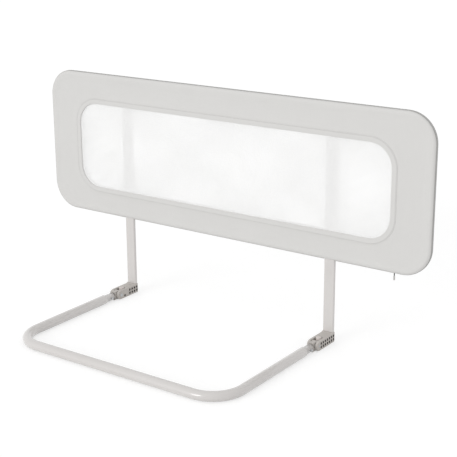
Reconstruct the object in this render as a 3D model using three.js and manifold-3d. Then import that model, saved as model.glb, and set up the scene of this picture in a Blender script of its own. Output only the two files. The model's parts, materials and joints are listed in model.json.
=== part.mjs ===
// A folding bed guard rail: a U-shaped base tube that goes under the mattress, two folding hinge feet,
// two flat posts, and a fabric covered tube frame that slides up and down on the posts.
// Millimetres, +Z up. +X runs along the rail, and the base points towards -Y, the mattress side.

import * as THREE from "three";
import { mergeVertices } from "three/addons/utils/BufferGeometryUtils.js";
import Module from "manifold-3d";

const wasm = await Module();
wasm.setup();

// Driving dimensions of the whole rail
const panelLength = 1200;
const panelHeight = 400;
const panelThickness = 18;
const panelCornerRadius = 75;
const postSpacing = 650;
const baseDepth = 460;
const lowestTotalHeight = 440;
const heightStep = 20;
const heightStepCount = 13;
const restStepCount = 9;

// Clearances and walls that several pieces share
const seatGap = 0.3;
const pinGap = 0.3;
const cutOverrun = 2;
const coverThickness = 1.2;
const bodyWall = 1.2;

// The base tube, its necked ends and its bends
const baseTubeDiameter = 25;
const baseTubeWall = 1.5;
const baseBendRadius = 80;
const neckDiameter = 20;
const neckLength = 28;
const neckTaper = 4;

// The hinge foot: a moulded block on the floor under each post, whose spigot fills the end of the post
const footFlush = 0.5;
const footFloor = 6;
const pivotSetback = 60;
const cheekThickness = 7;
const collarRise = 2;
const collarSlope = 4;
const collarFront = 2;
const postSpigotHeight = 34;
const bossRadius = 8;
const bossStand = 1.2;
const footEdge = 1.5;

// The lattice of slots in the sides of the foot
const slotColumns = 7;
const innerSlotColumns = 4;
const slotRows = 2;
const slotPitch = 10.2;
const slotWidth = 5.8;
const slotHeight = 6.6;
const slotRowPitch = 9.4;
const slotDepth = 5.5;
const slotBackMargin = 1.8;

// The knuckle, the sleeve and the pin that tie the base to the foot
const knuckleGap = 0.9;
const knuckleSideGap = 0.4;
const knuckleHubRadius = 6;
const knuckleHubRise = 1;
const hingePinRadius = 3;
const hingePinHeadRadius = 5;
const hingePinHeadHeight = 1.4;
const sleeveRadius = 14;
const sleeveRimRadius = 14.8;
const sleeveRimLength = 3.5;
const sleeveLength = 32;
const sleeveTaper = 6;
const sleeveSetback = 17;
const rivetRadius = 2;
const rivetHeadRadius = 3.4;
const rivetHeadHeight = 0.9;

// The lock button, its spring and the notch that its tooth faces
const buttonLength = 14;
const buttonHeight = 10;
const buttonProud = 2.4;
const buttonSideGap = 1.6;
const buttonCrown = 2;
const buttonCrownRun = 4;
const buttonCornerRadius = 4;
const toothHeight = 5;
const toothLength = 2.6;
const toothWidth = 7.6;
const springWireRadius = 0.5;
const springRadius = 3.4;
const springTurns = 5;
const springSteps = 8;
const springWireSides = 5;

// The lower post, its row of holes and its glide, and the screw low in the inner cheek of the foot
const postWidth = 30;
const postDepth = 9;
const postEdgeRadius = 3;
const postTopGap = 3;
const latchHoleRadius = 3;
const glideHeight = 12;
const glidePlugHeight = 16;
const clampScrewRadius = 1.6;
const clampScrewHeadRadius = 3.2;
const clampScrewHeadDepth = 1.6;
const clampScrewSetback = 43;
const clampScrewHeight = 6.5;

// The tube frame inside the cover, and its tees
const railWall = 1.5;
const teeShoulder = 6;
const spigotLength = 24;
const teePlugLength = 24;
const teeRecess = 10;
const teeRise = 14;
const teeScrewRadius = 1.6;
const teeScrewHeadRadius = 3;
const teeScrewHeadHeight = 0.9;
const teeScrewLength = 6;

// The leaf springs that hold the frame at its height
const latchRise = 42;
const leafWidth = 11;
const leafThickness = 0.7;

// The cover's window, its binding and its mesh
const windowSideMargin = 107;
const windowTopMargin = 83;
const windowBottomMargin = 75;
const windowRadius = 62;
const bindingWidth = 15;
const bindingOverhang = 1.5;
const bindingThickness = 0.8;
const bindingBevel = 0.75;
const meshThickness = 0.7;
const meshTuck = 14;
const seamGap = 0.4;
const postSlitMargin = 1.5;

// The zip along the lower rear edge of the cover
const zipRimAngle = THREE.MathUtils.degToRad(30);
const zipWidth = 5;
const zipThickness = 1.4;
const zipEndMargin = 100;
const zipSliderMargin = 102;
const zipSliderLength = 10;
const zipSliderWidth = 7;
const zipSliderWall = 0.8;
const bailRadius = 2.2;
const bailWireRadius = 0.6;
const pullLength = 27;
const pullWidth = 5;
const pullThickness = 1.2;
const pullNeckLengthShare = 0.55;
const pullNeckWidthShare = 0.34;
const pullEyeBore = 1.3;
const pullEyeWall = 0.9;

// Smoothness, in steps
const tubeSides = 16;
const railSides = 10;
const bendSteps = 8;
const rimSteps = 4;
const roundSides = 20;
const smallSides = 8;
const edgeSteps = 3;
const curveSteps = 6;
const mergeTolerance = 1e-4;

// Places that follow from the sizes above
const tubeRadius = baseTubeDiameter / 2;
const pivotY = -pivotSetback;
const pivotZ = tubeRadius;
const footTop = baseTubeDiameter;
const cheekRadius = tubeRadius;
const footWidth = postWidth + 2 * footFlush;
const slotHalf = footWidth / 2 - cheekThickness;
const knuckleHubHalf = slotHalf - knuckleSideGap;
const knuckleHalf = knuckleHubHalf - knuckleHubRise;
const knuckleRadius = cheekRadius - knuckleGap;
const sleeveBack = pivotY - sleeveSetback;
const sleeveFront = sleeveBack - sleeveLength;
const postX = postSpacing / 2;
const midY = panelThickness / 2;
const footBack = midY + postDepth / 2 + footFlush;
const collarTop = footTop + collarRise;
const restTotalHeight = lowestTotalHeight + heightStep * restStepCount;
const panelBottom = restTotalHeight - panelHeight;
const panelTop = restTotalHeight;
const panelMidZ = (panelTop + panelBottom) / 2;
const rimRadius = panelThickness / 2;
const railRadius = rimRadius - coverThickness - seatGap;
const lowRailZ = panelBottom + rimRadius;
const topRailZ = panelTop - rimRadius;
const sideRailX = panelLength / 2 - rimRadius;
const railCornerRadius = panelCornerRadius - rimRadius;
const spigotRadius = railRadius - railWall - seatGap;
const uprightWidth = postWidth + 2 * (seatGap + bodyWall);
const uprightDepth = postDepth + 2 * (seatGap + bodyWall);
const uprightBottom = lowRailZ + teeRise - teeRecess + seatGap;
const uprightTop = topRailZ - railRadius - seatGap;
const postBottom = collarTop + seatGap;
const lowestPlugEnd = lowestTotalHeight - rimRadius - railRadius - seatGap - teePlugLength;
const postTop = lowestPlugEnd - postTopGap - glideHeight;
const latchZ = panelBottom + latchRise;
const teeHalf = uprightWidth / 2 + teeShoulder;
const windowCentreZ = (panelTop - windowTopMargin + panelBottom + windowBottomMargin) / 2;
const windowLength = panelLength - 2 * windowSideMargin;
const windowHeight = panelHeight - windowTopMargin - windowBottomMargin;
const zipY = midY + rimRadius * Math.cos(zipRimAngle);
const zipZ = panelBottom + rimRadius - rimRadius * Math.sin(zipRimAngle);
const zipSliderX = panelLength / 2 - zipSliderMargin;
const hoodOuter = seatGap + zipThickness + seatGap + zipSliderWall;
const bridgeOut = hoodOuter + pullEyeBore + pullEyeWall + seatGap;
const sliderOuter = bridgeOut + bailWireRadius;
const pullEyeRadius = pullEyeBore + pullEyeWall;
const backReach = zipY + bridgeOut * Math.cos(zipRimAngle) + pullEyeRadius;
const frontReach = -(baseDepth + tubeRadius);

const xAxis = new THREE.Vector3(1, 0, 0);
const yAxis = new THREE.Vector3(0, 1, 0);
const zAxis = new THREE.Vector3(0, 0, 1);

// A closed three.js geometry as a solid that can be joined and cut, turned outwards if need be.
function solidOf(geometry) {
  const bare = geometry.clone();
  bare.deleteAttribute("normal");
  bare.deleteAttribute("uv");
  const merged = mergeVertices(bare, mergeTolerance);
  const faces = new Uint32Array(merged.index.array);
  const vertices = new Float32Array(merged.attributes.position.array);
  const made = new wasm.Manifold(new wasm.Mesh({ numProp: 3, vertProperties: vertices, triVerts: faces }));
  if (made.volume() > 0) return made;
  for (let i = 0; i < faces.length; i += 3) {
    [faces[i + 1], faces[i + 2]] = [faces[i + 2], faces[i + 1]];
  }
  return new wasm.Manifold(new wasm.Mesh({ numProp: 3, vertProperties: vertices, triVerts: faces }));
}

function joined(...solids) {
  return solids.reduce((all, next) => all.add(next));
}

function cut(solid, ...tools) {
  return tools.reduce((rest, tool) => rest.subtract(tool), solid);
}

// A box between two corners.
function block(x0, x1, y0, y1, z0, z1) {
  const geometry = new THREE.BoxGeometry(x1 - x0, y1 - y0, z1 - z0);
  geometry.translate((x0 + x1) / 2, (y0 + y1) / 2, (z0 + z1) / 2);
  return solidOf(geometry);
}

// A round bar along an axis, from one place on the axis to another; centre gives the other two places.
function bar(axis, radius, from, to, centre, sides = roundSides) {
  const geometry = new THREE.CylinderGeometry(radius, radius, to - from, sides);
  geometry.translate(0, (from + to) / 2, 0);
  const turn = new THREE.Quaternion().setFromUnitVectors(yAxis, axis);
  geometry.applyQuaternion(turn);
  geometry.translate(centre.x, centre.y, centre.z);
  return solidOf(geometry);
}

// An outline drawn in Y and Z, carried along X.
function sideProfile(shape, x0, x1, steps = roundSides / 2) {
  const geometry = new THREE.ExtrudeGeometry(shape, { depth: x1 - x0, bevelEnabled: false, curveSegments: steps });
  geometry.rotateX(Math.PI / 2);
  geometry.rotateZ(Math.PI / 2);
  geometry.translate(x0, 0, 0);
  return solidOf(geometry);
}

// An outline drawn in X and Y, carried up Z.
function upright(shape, z0, z1, steps = edgeSteps) {
  const geometry = new THREE.ExtrudeGeometry(shape, { depth: z1 - z0, bevelEnabled: false, curveSegments: steps });
  geometry.translate(0, 0, z0);
  return solidOf(geometry);
}

// A rounded rectangle about a centre.
function roundedRect(width, depth, radius, x = 0, y = 0) {
  const w = width / 2;
  const d = depth / 2;
  const r = Math.min(radius, w, d);
  const shape = new THREE.Shape();
  shape.moveTo(x - w + r, y - d);
  shape.lineTo(x + w - r, y - d);
  shape.absarc(x + w - r, y - d + r, r, -Math.PI / 2, 0);
  shape.lineTo(x + w, y + d - r);
  shape.absarc(x + w - r, y + d - r, r, 0, Math.PI / 2);
  shape.lineTo(x - w + r, y + d);
  shape.absarc(x - w + r, y + d - r, r, Math.PI / 2, Math.PI);
  shape.lineTo(x - w, y - d + r);
  shape.absarc(x - w + r, y - d + r, r, Math.PI, 1.5 * Math.PI);
  return shape;
}

// Skins a stack of rings that have equal counts of points. A looped stack joins its last ring to its first;
// an open one gets a flat cap at each end.
function loft(rings, looped = false) {
  const count = rings[0].length;
  const positions = rings.flat().flatMap((p) => [p.x, p.y, p.z]);
  const faces = [];
  const bands = looped ? rings.length : rings.length - 1;
  for (let i = 0; i < bands; i++) {
    const next = (i + 1) % rings.length;
    for (let j = 0; j < count; j++) {
      const k = (j + 1) % count;
      faces.push(i * count + j, i * count + k, next * count + k);
      faces.push(i * count + j, next * count + k, next * count + j);
    }
  }
  if (!looped) {
    const last = (rings.length - 1) * count;
    for (let j = 1; j < count - 1; j++) {
      faces.push(0, j + 1, j);
      faces.push(last, last + j, last + j + 1);
    }
  }
  const geometry = new THREE.BufferGeometry();
  geometry.setAttribute("position", new THREE.Float32BufferAttribute(positions, 3));
  geometry.setIndex(faces);
  return solidOf(geometry);
}

// The stations of a pipe that runs through corner points, each corner a right-angled bend of one radius.
function bentRun(corners, radius) {
  const stations = [];
  corners.forEach((corner, i) => {
    const before = i > 0 ? corner.clone().sub(corners[i - 1]).normalize() : null;
    const after = i < corners.length - 1 ? corners[i + 1].clone().sub(corner).normalize() : null;
    if (!before || !after) {
      stations.push({ place: corner, along: before ?? after });
      return;
    }
    const centre = corner.clone().addScaledVector(before, -radius).addScaledVector(after, radius);
    for (let k = 0; k <= bendSteps; k++) {
      const angle = (k / bendSteps) * (Math.PI / 2);
      const place = centre.clone().addScaledVector(before, radius * Math.sin(angle));
      place.addScaledVector(after, -radius * Math.cos(angle));
      const along = before.clone().multiplyScalar(Math.cos(angle)).addScaledVector(after, Math.sin(angle));
      stations.push({ place, along });
    }
  });
  return stations;
}

// One ring of a pipe that lies in the plane across the given normal.
function pipeRing(station, normal, radius, sides) {
  const across = station.along.clone().cross(normal);
  return Array.from({ length: sides }, (_, j) => {
    const angle = (j / sides) * 2 * Math.PI;
    const point = station.place.clone().addScaledVector(normal, radius * Math.cos(angle));
    return point.addScaledVector(across, radius * Math.sin(angle));
  });
}

// A hollow pipe, open at both ends: the outer wall goes along the stations and the bore comes back.
function hollowPipe(stations, normal, outerRadius, wall, sides) {
  const outer = stations.map((s) => pipeRing(s, normal, s.radius ?? outerRadius, sides));
  const bore = stations.map((s) => pipeRing(s, normal, (s.radius ?? outerRadius) - wall, sides));
  return loft([...outer, ...bore.reverse()], true);
}

function finish(color, roughness, metalness = 0) {
  return new THREE.MeshStandardMaterial({ color, roughness, metalness });
}

const finishes = {
  paintedTube: () => finish(0xd3d0cc, 0.42, 0.1),
  hingePlastic: () => finish(0xbfbab5, 0.5),
  innerPlastic: () => finish(0x8d8c8a, 0.55),
  steel: () => finish(0xb9bbbd, 0.3, 0.9),
  darkSteel: () => finish(0x3c3b3a, 0.45, 0.7),
  fabric: () => finish(0xd7d6d4, 0.9),
  binding: () => finish(0xcfcecb, 0.88),
  mesh: () => finish(0xf3f3f2, 0.95),
  zip: () => finish(0xbdbcb9, 0.7),
};

// A named mesh from a solid.
function meshOf(name, solid, material) {
  const made = solid.getMesh();
  const geometry = new THREE.BufferGeometry();
  geometry.setAttribute("position", new THREE.BufferAttribute(made.vertProperties, 3));
  geometry.setIndex(new THREE.BufferAttribute(made.triVerts, 1));
  geometry.computeVertexNormals();
  const mesh = new THREE.Mesh(geometry, material);
  mesh.name = name;
  return mesh;
}

// The base tube: one bent pipe with necked ends that plug into the sleeves.
function baseTube() {
  const shoulder = sleeveFront - seatGap;
  const neckEnd = shoulder + neckLength;
  const corners = [-1, 1].map((side) => new THREE.Vector3(side * postX, -baseDepth, pivotZ));
  const ends = [-1, 1].map((side) => new THREE.Vector3(side * postX, shoulder, pivotZ));
  const run = bentRun([ends[0], corners[0], corners[1], ends[1]], baseBendRadius);
  const stationAt = (side, y, radius) => ({
    place: new THREE.Vector3(side * postX, y, pivotZ),
    along: yAxis.clone().multiplyScalar(side),
    radius,
  });
  const neck = neckDiameter / 2;
  run[0] = stationAt(-1, shoulder - neckTaper, tubeRadius);
  run[run.length - 1] = stationAt(1, shoulder - neckTaper, tubeRadius);
  const first = [stationAt(-1, neckEnd, neck), stationAt(-1, shoulder, neck)];
  const last = [stationAt(1, shoulder, neck), stationAt(1, neckEnd, neck)];
  const pipe = hollowPipe([...first, ...run, ...last], zAxis, tubeRadius, baseTubeWall, tubeSides);
  return cut(pipe, ...[-1, 1].map((side) => rivetHole(side * postX)));
}

function rivetY() {
  return (sleeveFront + sleeveRimLength + sleeveBack - sleeveTaper) / 2;
}

function rivetHole(x) {
  const reach = sleeveRadius + cutOverrun;
  return bar(xAxis, rivetRadius + pinGap, -reach, reach, new THREE.Vector3(x, rivetY(), pivotZ), smallSides);
}

// The sleeve takes the tube's neck, and its knuckle turns between the cheeks of the foot, centred by a hub.
function baseSocket() {
  const axis = new THREE.Vector3(0, 0, pivotZ);
  const rings = [
    [sleeveBack, knuckleRadius],
    [sleeveBack - sleeveTaper, sleeveRadius],
    [sleeveFront + sleeveRimLength, sleeveRadius],
    [sleeveFront + sleeveRimLength, sleeveRimRadius],
    [sleeveFront, sleeveRimRadius],
  ];
  const profile = [new THREE.Vector2(0, sleeveBack), ...rings.map(([y, r]) => new THREE.Vector2(r, y))];
  profile.push(new THREE.Vector2(0, sleeveFront));
  const lathe = new THREE.LatheGeometry(profile, roundSides);
  lathe.translate(0, 0, pivotZ);
  const neck = new THREE.Shape();
  neck.absarc(pivotY, pivotZ, knuckleRadius, -Math.PI / 2, Math.PI / 2);
  neck.lineTo(sleeveBack - sleeveTaper, pivotZ + knuckleRadius);
  neck.lineTo(sleeveBack - sleeveTaper, pivotZ - knuckleRadius);
  const pivot = new THREE.Vector3(0, pivotY, pivotZ);
  const hub = bar(xAxis, knuckleHubRadius, -knuckleHubHalf, knuckleHubHalf, pivot);
  const body = joined(solidOf(lathe), sideProfile(neck, -knuckleHalf, knuckleHalf), hub);
  const reach = sleeveRimRadius + cutOverrun;
  const belowFloor = block(-reach, reach, sleeveFront - reach, pivotY + reach, -reach, 0);
  const bore = bar(
    yAxis,
    neckDiameter / 2 + pinGap,
    sleeveFront - cutOverrun,
    sleeveFront + neckLength + seatGap,
    axis,
    tubeSides,
  );
  const pinHole = bar(xAxis, hingePinRadius + pinGap, -reach, reach, pivot);
  const notchZ = toothBottom() - seatGap;
  const notch = block(
    -knuckleHalf - cutOverrun,
    knuckleHalf + cutOverrun,
    pivotY + knuckleRadius - toothLength,
    pivotY + reach,
    notchZ,
    notchZ + toothHeight + 2 * seatGap,
  );
  return cut(body, belowFloor, bore, pinHole, notch, rivetHole(0));
}

function rivet() {
  const at = new THREE.Vector3(0, rivetY(), pivotZ);
  const half = sleeveRadius + seatGap;
  const shank = bar(xAxis, rivetRadius, -half, half, at, smallSides);
  const heads = [
    bar(xAxis, rivetHeadRadius, half, half + rivetHeadHeight, at, smallSides),
    bar(xAxis, rivetHeadRadius, -half - rivetHeadHeight, -half, at, smallSides),
  ];
  return joined(shank, ...heads);
}

function buttonFront() {
  return pivotY + cheekRadius + knuckleGap;
}

function buttonBack() {
  return buttonFront() + buttonLength;
}

function toothBottom() {
  return footTop + buttonProud - buttonHeight;
}

// The outline of the foot from the side: flat underneath, round at the pivot, with a collar for the post.
function footOutline() {
  const collarY = midY - postDepth / 2 - collarFront;
  const shape = new THREE.Shape();
  shape.absarc(pivotY, pivotZ, cheekRadius, Math.PI / 2, 1.5 * Math.PI);
  shape.lineTo(footBack - footEdge, 0);
  shape.absarc(footBack - footEdge, footEdge, footEdge, -Math.PI / 2, 0);
  shape.lineTo(footBack, collarTop - footEdge);
  shape.absarc(footBack - footEdge, collarTop - footEdge, footEdge, 0, Math.PI / 2);
  shape.lineTo(collarY, collarTop);
  shape.lineTo(collarY - collarSlope, footTop);
  return shape;
}

// The slots in one side of the foot, in columns from the back forward.
function slots(outward, columns) {
  const tools = [];
  const firstY = footBack - slotBackMargin - slotWidth;
  const face = outward * (footWidth / 2);
  const x0 = Math.min(face - outward * slotDepth, face + outward * cutOverrun);
  const x1 = Math.max(face - outward * slotDepth, face + outward * cutOverrun);
  for (let column = 0; column < columns; column++) {
    for (let row = 0; row < slotRows; row++) {
      const y = firstY - column * slotPitch;
      const z = pivotZ + (row - (slotRows - 1) / 2) * slotRowPitch;
      tools.push(block(x0, x1, y, y + slotWidth, z - slotHeight / 2, z + slotHeight / 2));
    }
  }
  return tools;
}

// The foot, drawn with its outer side towards +X.
function hingeFoot() {
  const half = footWidth / 2;
  const body = sideProfile(footOutline(), -half, half);
  const pivot = new THREE.Vector3(0, pivotY, pivotZ);
  const boss = bar(xAxis, bossRadius, -half - bossStand, -half, pivot);
  const over = collarTop + cutOverrun;
  const knuckleSlot = block(
    -slotHalf,
    slotHalf,
    pivotY - cheekRadius - cutOverrun,
    buttonFront(),
    -cutOverrun,
    over,
  );
  const wellRadius = buttonCornerRadius + buttonSideGap;
  const wellFront = buttonFront() - wellRadius;
  const wellBack = buttonBack() + buttonSideGap;
  const buttonWell = upright(
    roundedRect(2 * slotHalf, wellBack - wellFront, wellRadius, 0, (wellFront + wellBack) / 2),
    footFloor,
    over,
  );
  const spigotInset = 2 * (bodyWall + seatGap);
  const spigot = upright(
    roundedRect(
      postWidth - spigotInset,
      postDepth - spigotInset,
      postEdgeRadius - bodyWall - seatGap,
      0,
      midY,
    ),
    footFloor,
    collarTop + postSpigotHeight,
  );
  const pinReach = half + bossStand + cutOverrun;
  const pinHole = bar(xAxis, hingePinRadius + pinGap, -pinReach, pinReach, pivot);
  const screwAt = new THREE.Vector3(0, -clampScrewSetback, clampScrewHeight);
  const screwHole = bar(
    xAxis,
    clampScrewRadius + pinGap,
    -half - cutOverrun,
    -slotHalf - bodyWall,
    screwAt,
    smallSides,
  );
  const screwSeat = bar(
    xAxis,
    clampScrewHeadRadius + pinGap,
    -half - cutOverrun,
    -half + clampScrewHeadDepth + seatGap,
    screwAt,
    smallSides,
  );
  const moulded = cut(joined(body, boss, spigot), knuckleSlot, buttonWell, pinHole, screwHole, screwSeat);
  return cut(moulded, ...slots(1, slotColumns), ...slots(-1, innerSlotColumns));
}

function hingePin() {
  const pivot = new THREE.Vector3(0, pivotY, pivotZ);
  const inner = -footWidth / 2 - bossStand - seatGap;
  const shank = bar(xAxis, hingePinRadius, inner, footWidth / 2, pivot);
  const head = bar(xAxis, hingePinHeadRadius, inner - hingePinHeadHeight, inner, pivot);
  return joined(shank, head);
}

function clampScrew() {
  const at = new THREE.Vector3(0, -clampScrewSetback, clampScrewHeight);
  const face = -footWidth / 2;
  const head = bar(xAxis, clampScrewHeadRadius, face, face + clampScrewHeadDepth, at, smallSides);
  const shank = bar(
    xAxis,
    clampScrewRadius,
    face + clampScrewHeadDepth,
    -slotHalf - bodyWall - seatGap,
    at,
    smallSides,
  );
  return joined(head, shank);
}

// The thumb button: a crowned cap with a tooth in front, standing a little proud of the foot.
function lockButton() {
  const half = slotHalf - buttonSideGap;
  const top = footTop + buttonProud;
  const bottom = top - buttonHeight;
  const front = buttonFront() + seatGap;
  const back = buttonBack();
  const shape = new THREE.Shape();
  shape.moveTo(front, bottom);
  shape.lineTo(back, bottom);
  shape.lineTo(back, top - buttonCrown);
  shape.quadraticCurveTo(back, top, back - buttonCrownRun, top);
  shape.lineTo(front + buttonCrownRun, top);
  shape.quadraticCurveTo(front, top, front, top - buttonCrown);
  const cap = sideProfile(shape, -half, half, curveSteps);
  const plan = upright(
    roundedRect(2 * half, back - front, buttonCornerRadius, 0, (front + back) / 2),
    bottom - cutOverrun,
    top + cutOverrun,
    curveSteps,
  );
  const toothReach = pivotY + knuckleRadius + seatGap;
  const tooth = block(
    -toothWidth / 2,
    toothWidth / 2,
    toothReach,
    front + buttonCrown,
    toothBottom(),
    toothBottom() + toothHeight,
  );
  return joined(cap.intersect(plan), tooth);
}

// The coil spring under the button, one unbroken wire.
function buttonSpring() {
  const bottom = footFloor + seatGap + springWireRadius;
  const top = toothBottom() - seatGap - springWireRadius;
  const centreY = (buttonFront() + buttonBack()) / 2;
  const steps = springTurns * springSteps;
  const rings = [];
  for (let i = 0; i <= steps; i++) {
    const angle = (i / springSteps) * 2 * Math.PI;
    const out = new THREE.Vector3(Math.cos(angle), Math.sin(angle), 0);
    const centre = out.clone().multiplyScalar(springRadius);
    centre.y += centreY;
    centre.z = bottom + ((top - bottom) * i) / steps;
    rings.push(
      Array.from({ length: springWireSides }, (_, j) => {
        const turn = (j / springWireSides) * 2 * Math.PI;
        const point = centre.clone().addScaledVector(out, springWireRadius * Math.cos(turn));
        return point.addScaledVector(zAxis, springWireRadius * Math.sin(turn));
      }),
    );
  }
  return loft(rings);
}

// The flat post: a hollow tube with a row of latch holes in its rear wall.
function lowerPost() {
  const outer = upright(roundedRect(postWidth, postDepth, postEdgeRadius, 0, midY), postBottom, postTop);
  const bore = upright(
    roundedRect(postWidth - 2 * bodyWall, postDepth - 2 * bodyWall, postEdgeRadius - bodyWall, 0, midY),
    postBottom - cutOverrun,
    postTop + cutOverrun,
  );
  const holes = [];
  for (let step = 0; step <= heightStepCount; step++) {
    const z = latchZ + (step - restStepCount) * heightStep;
    const at = new THREE.Vector3(0, 0, z);
    holes.push(bar(yAxis, latchHoleRadius, midY, midY + postDepth / 2 + cutOverrun, at, smallSides));
  }
  return cut(outer, bore, ...holes);
}

// The glide closes the top of the post and runs inside the upright tube.
function postGlide() {
  const head = upright(
    roundedRect(postWidth, postDepth, postEdgeRadius, 0, midY),
    postTop + seatGap,
    postTop + glideHeight,
  );
  const plugInset = 2 * (bodyWall + seatGap);
  const plug = upright(
    roundedRect(postWidth - plugInset, postDepth - plugInset, postEdgeRadius - bodyWall, 0, midY),
    postTop - glidePlugHeight,
    postTop + seatGap,
  );
  return joined(head, plug);
}

function leafHole(radius) {
  const at = new THREE.Vector3(0, 0, latchZ);
  return bar(yAxis, radius, midY + postDepth / 2 - bodyWall, midY + uprightDepth, at, smallSides);
}

// The upright tube of the frame, with a hole for the latch and one for each tee screw.
function uprightTube() {
  const outer = upright(
    roundedRect(uprightWidth, uprightDepth, postEdgeRadius + bodyWall, 0, midY),
    uprightBottom,
    uprightTop,
  );
  const bore = upright(
    roundedRect(uprightWidth - 2 * bodyWall, uprightDepth - 2 * bodyWall, postEdgeRadius, 0, midY),
    uprightBottom - cutOverrun,
    uprightTop + cutOverrun,
  );
  return cut(outer, bore, leafHole(latchHoleRadius), teeScrewHole(topScrewZ()));
}

function topScrewZ() {
  return uprightTop - teePlugLength / 2;
}

function teeScrewHole(z) {
  const at = new THREE.Vector3(0, 0, z);
  const back = midY + uprightDepth / 2;
  return bar(yAxis, teeScrewRadius + pinGap, back - teeScrewLength, back + cutOverrun, at, smallSides);
}

function teeScrew(x, y, z) {
  const at = new THREE.Vector3(x, 0, z);
  const shank = bar(yAxis, teeScrewRadius, y + seatGap - teeScrewLength, y + seatGap, at, smallSides);
  const head = bar(yAxis, teeScrewHeadRadius, y + seatGap, y + seatGap + teeScrewHeadHeight, at, smallSides);
  return joined(shank, head);
}

// Both tees have a round body in line with the rails and a spigot into each rail.
function teeBody(z) {
  const at = new THREE.Vector3(0, midY, z);
  const reach = teeHalf + spigotLength;
  const core = bar(xAxis, railRadius, -teeHalf, teeHalf, at, railSides);
  const spigots = bar(xAxis, spigotRadius, -reach, reach, at, railSides);
  return joined(core, spigots);
}

function topTee() {
  const plugWidth = uprightWidth - 2 * (bodyWall + seatGap);
  const plugDepth = uprightDepth - 2 * (bodyWall + seatGap);
  const plug = upright(
    roundedRect(plugWidth, plugDepth, postEdgeRadius - seatGap, 0, midY),
    uprightTop - teePlugLength,
    topRailZ,
  );
  return cut(joined(teeBody(topRailZ), plug), teeScrewHole(topScrewZ()));
}

// The post slides through the lower tee, whose top holds the foot of the upright tube.
function bottomTee() {
  const bodyDepth = 2 * railRadius;
  const collar = upright(
    roundedRect(uprightWidth + 2 * (seatGap + bodyWall), bodyDepth, postEdgeRadius + bodyWall, 0, midY),
    lowRailZ,
    lowRailZ + teeRise,
  );
  const recess = upright(
    roundedRect(uprightWidth + 2 * seatGap, uprightDepth + 2 * seatGap, postEdgeRadius + bodyWall, 0, midY),
    lowRailZ + teeRise - teeRecess,
    lowRailZ + teeRise + cutOverrun,
  );
  const passage = upright(
    roundedRect(postWidth + 2 * seatGap, postDepth + 2 * seatGap, postEdgeRadius + seatGap, 0, midY),
    lowRailZ - railRadius - cutOverrun,
    lowRailZ + teeRise + cutOverrun,
  );
  return cut(joined(teeBody(lowRailZ), collar), recess, passage);
}

// The leaf spring behind the upright: a flat strip whose nub drops into a hole of the post.
function latchSpring() {
  const inner = midY + uprightDepth / 2 + seatGap;
  const at = new THREE.Vector3(0, 0, latchZ);
  const strip = block(
    -leafWidth / 2,
    leafWidth / 2,
    inner,
    inner + leafThickness,
    lowRailZ + teeRise + seatGap,
    latchZ + leafWidth / 2,
  );
  const nubEnd = midY + postDepth / 2 - bodyWall;
  const nub = bar(yAxis, latchHoleRadius - pinGap, nubEnd, inner, at, smallSides);
  return joined(strip, nub);
}

// A straight rail along X between the two tees.
function rail(z) {
  const end = postX - teeHalf - seatGap;
  const stations = [-end, end].map((x) => ({ place: new THREE.Vector3(x, midY, z), along: xAxis }));
  return hollowPipe(stations, yAxis, railRadius, railWall, railSides);
}

// The bowed end of the frame, from the top tee round to the lower one.
function frameEnd() {
  const start = postX + teeHalf + seatGap;
  const corners = [
    new THREE.Vector3(start, midY, topRailZ),
    new THREE.Vector3(sideRailX, midY, topRailZ),
    new THREE.Vector3(sideRailX, midY, lowRailZ),
    new THREE.Vector3(start, midY, lowRailZ),
  ];
  return hollowPipe(bentRun(corners, railCornerRadius), yAxis, railRadius, railWall, railSides);
}

// A ring of points round a rounded rectangle in the plane of the panel.
function outlineRing(length, height, radius, centreZ, y) {
  const points = [];
  const w = length / 2 - radius;
  const h = height / 2 - radius;
  const corners = [
    [w, h],
    [-w, h],
    [-w, -h],
    [w, -h],
  ];
  corners.forEach(([x, z], quarter) => {
    for (let k = 0; k <= bendSteps; k++) {
      const angle = (quarter + k / bendSteps) * (Math.PI / 2);
      points.push(new THREE.Vector3(x + radius * Math.cos(angle), y, centreZ + z + radius * Math.sin(angle)));
    }
  });
  return points;
}

function panelRing(inset, y) {
  return outlineRing(
    panelLength - 2 * inset,
    panelHeight - 2 * inset,
    panelCornerRadius - inset,
    panelMidZ,
    y,
  );
}

function windowRing(grow, y) {
  return outlineRing(windowLength + 2 * grow, windowHeight + 2 * grow, windowRadius + grow, windowCentreZ, y);
}

// Half of the cover: a flat fabric face with a window, and a rim that curves round the frame to the seam.
// The face lies at y = 0 for the front half; place turns a depth into a y, so the back half is its mirror.
function coverHalf(place) {
  const seamDepth = (panelThickness - seamGap) / 2;
  const outside = [];
  const inside = [];
  for (let k = 0; k <= rimSteps; k++) {
    const angle = (k / rimSteps) * (Math.PI / 2);
    const inner = rimRadius - coverThickness;
    outside.push(panelRing(rimRadius * (1 - Math.cos(angle)), place(seamDepth * (1 - Math.sin(angle)))));
    const depth = coverThickness + (seamDepth - coverThickness) * (1 - Math.sin(angle));
    inside.push(panelRing(coverThickness + inner * (1 - Math.cos(angle)), place(depth)));
  }
  const windowEdge = [windowRing(0, place(0)), windowRing(0, place(coverThickness))];
  const shell = loft([...outside, ...windowEdge, ...inside.reverse()], true);
  const slits = [-1, 1].map((side) =>
    block(
      side * postX - postWidth / 2 - postSlitMargin,
      side * postX + postWidth / 2 + postSlitMargin,
      midY - postDepth / 2 - postSlitMargin,
      midY + postDepth / 2 + postSlitMargin,
      panelBottom - cutOverrun,
      panelBottom + rimRadius,
    ),
  );
  return cut(shell, ...slits);
}

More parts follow.
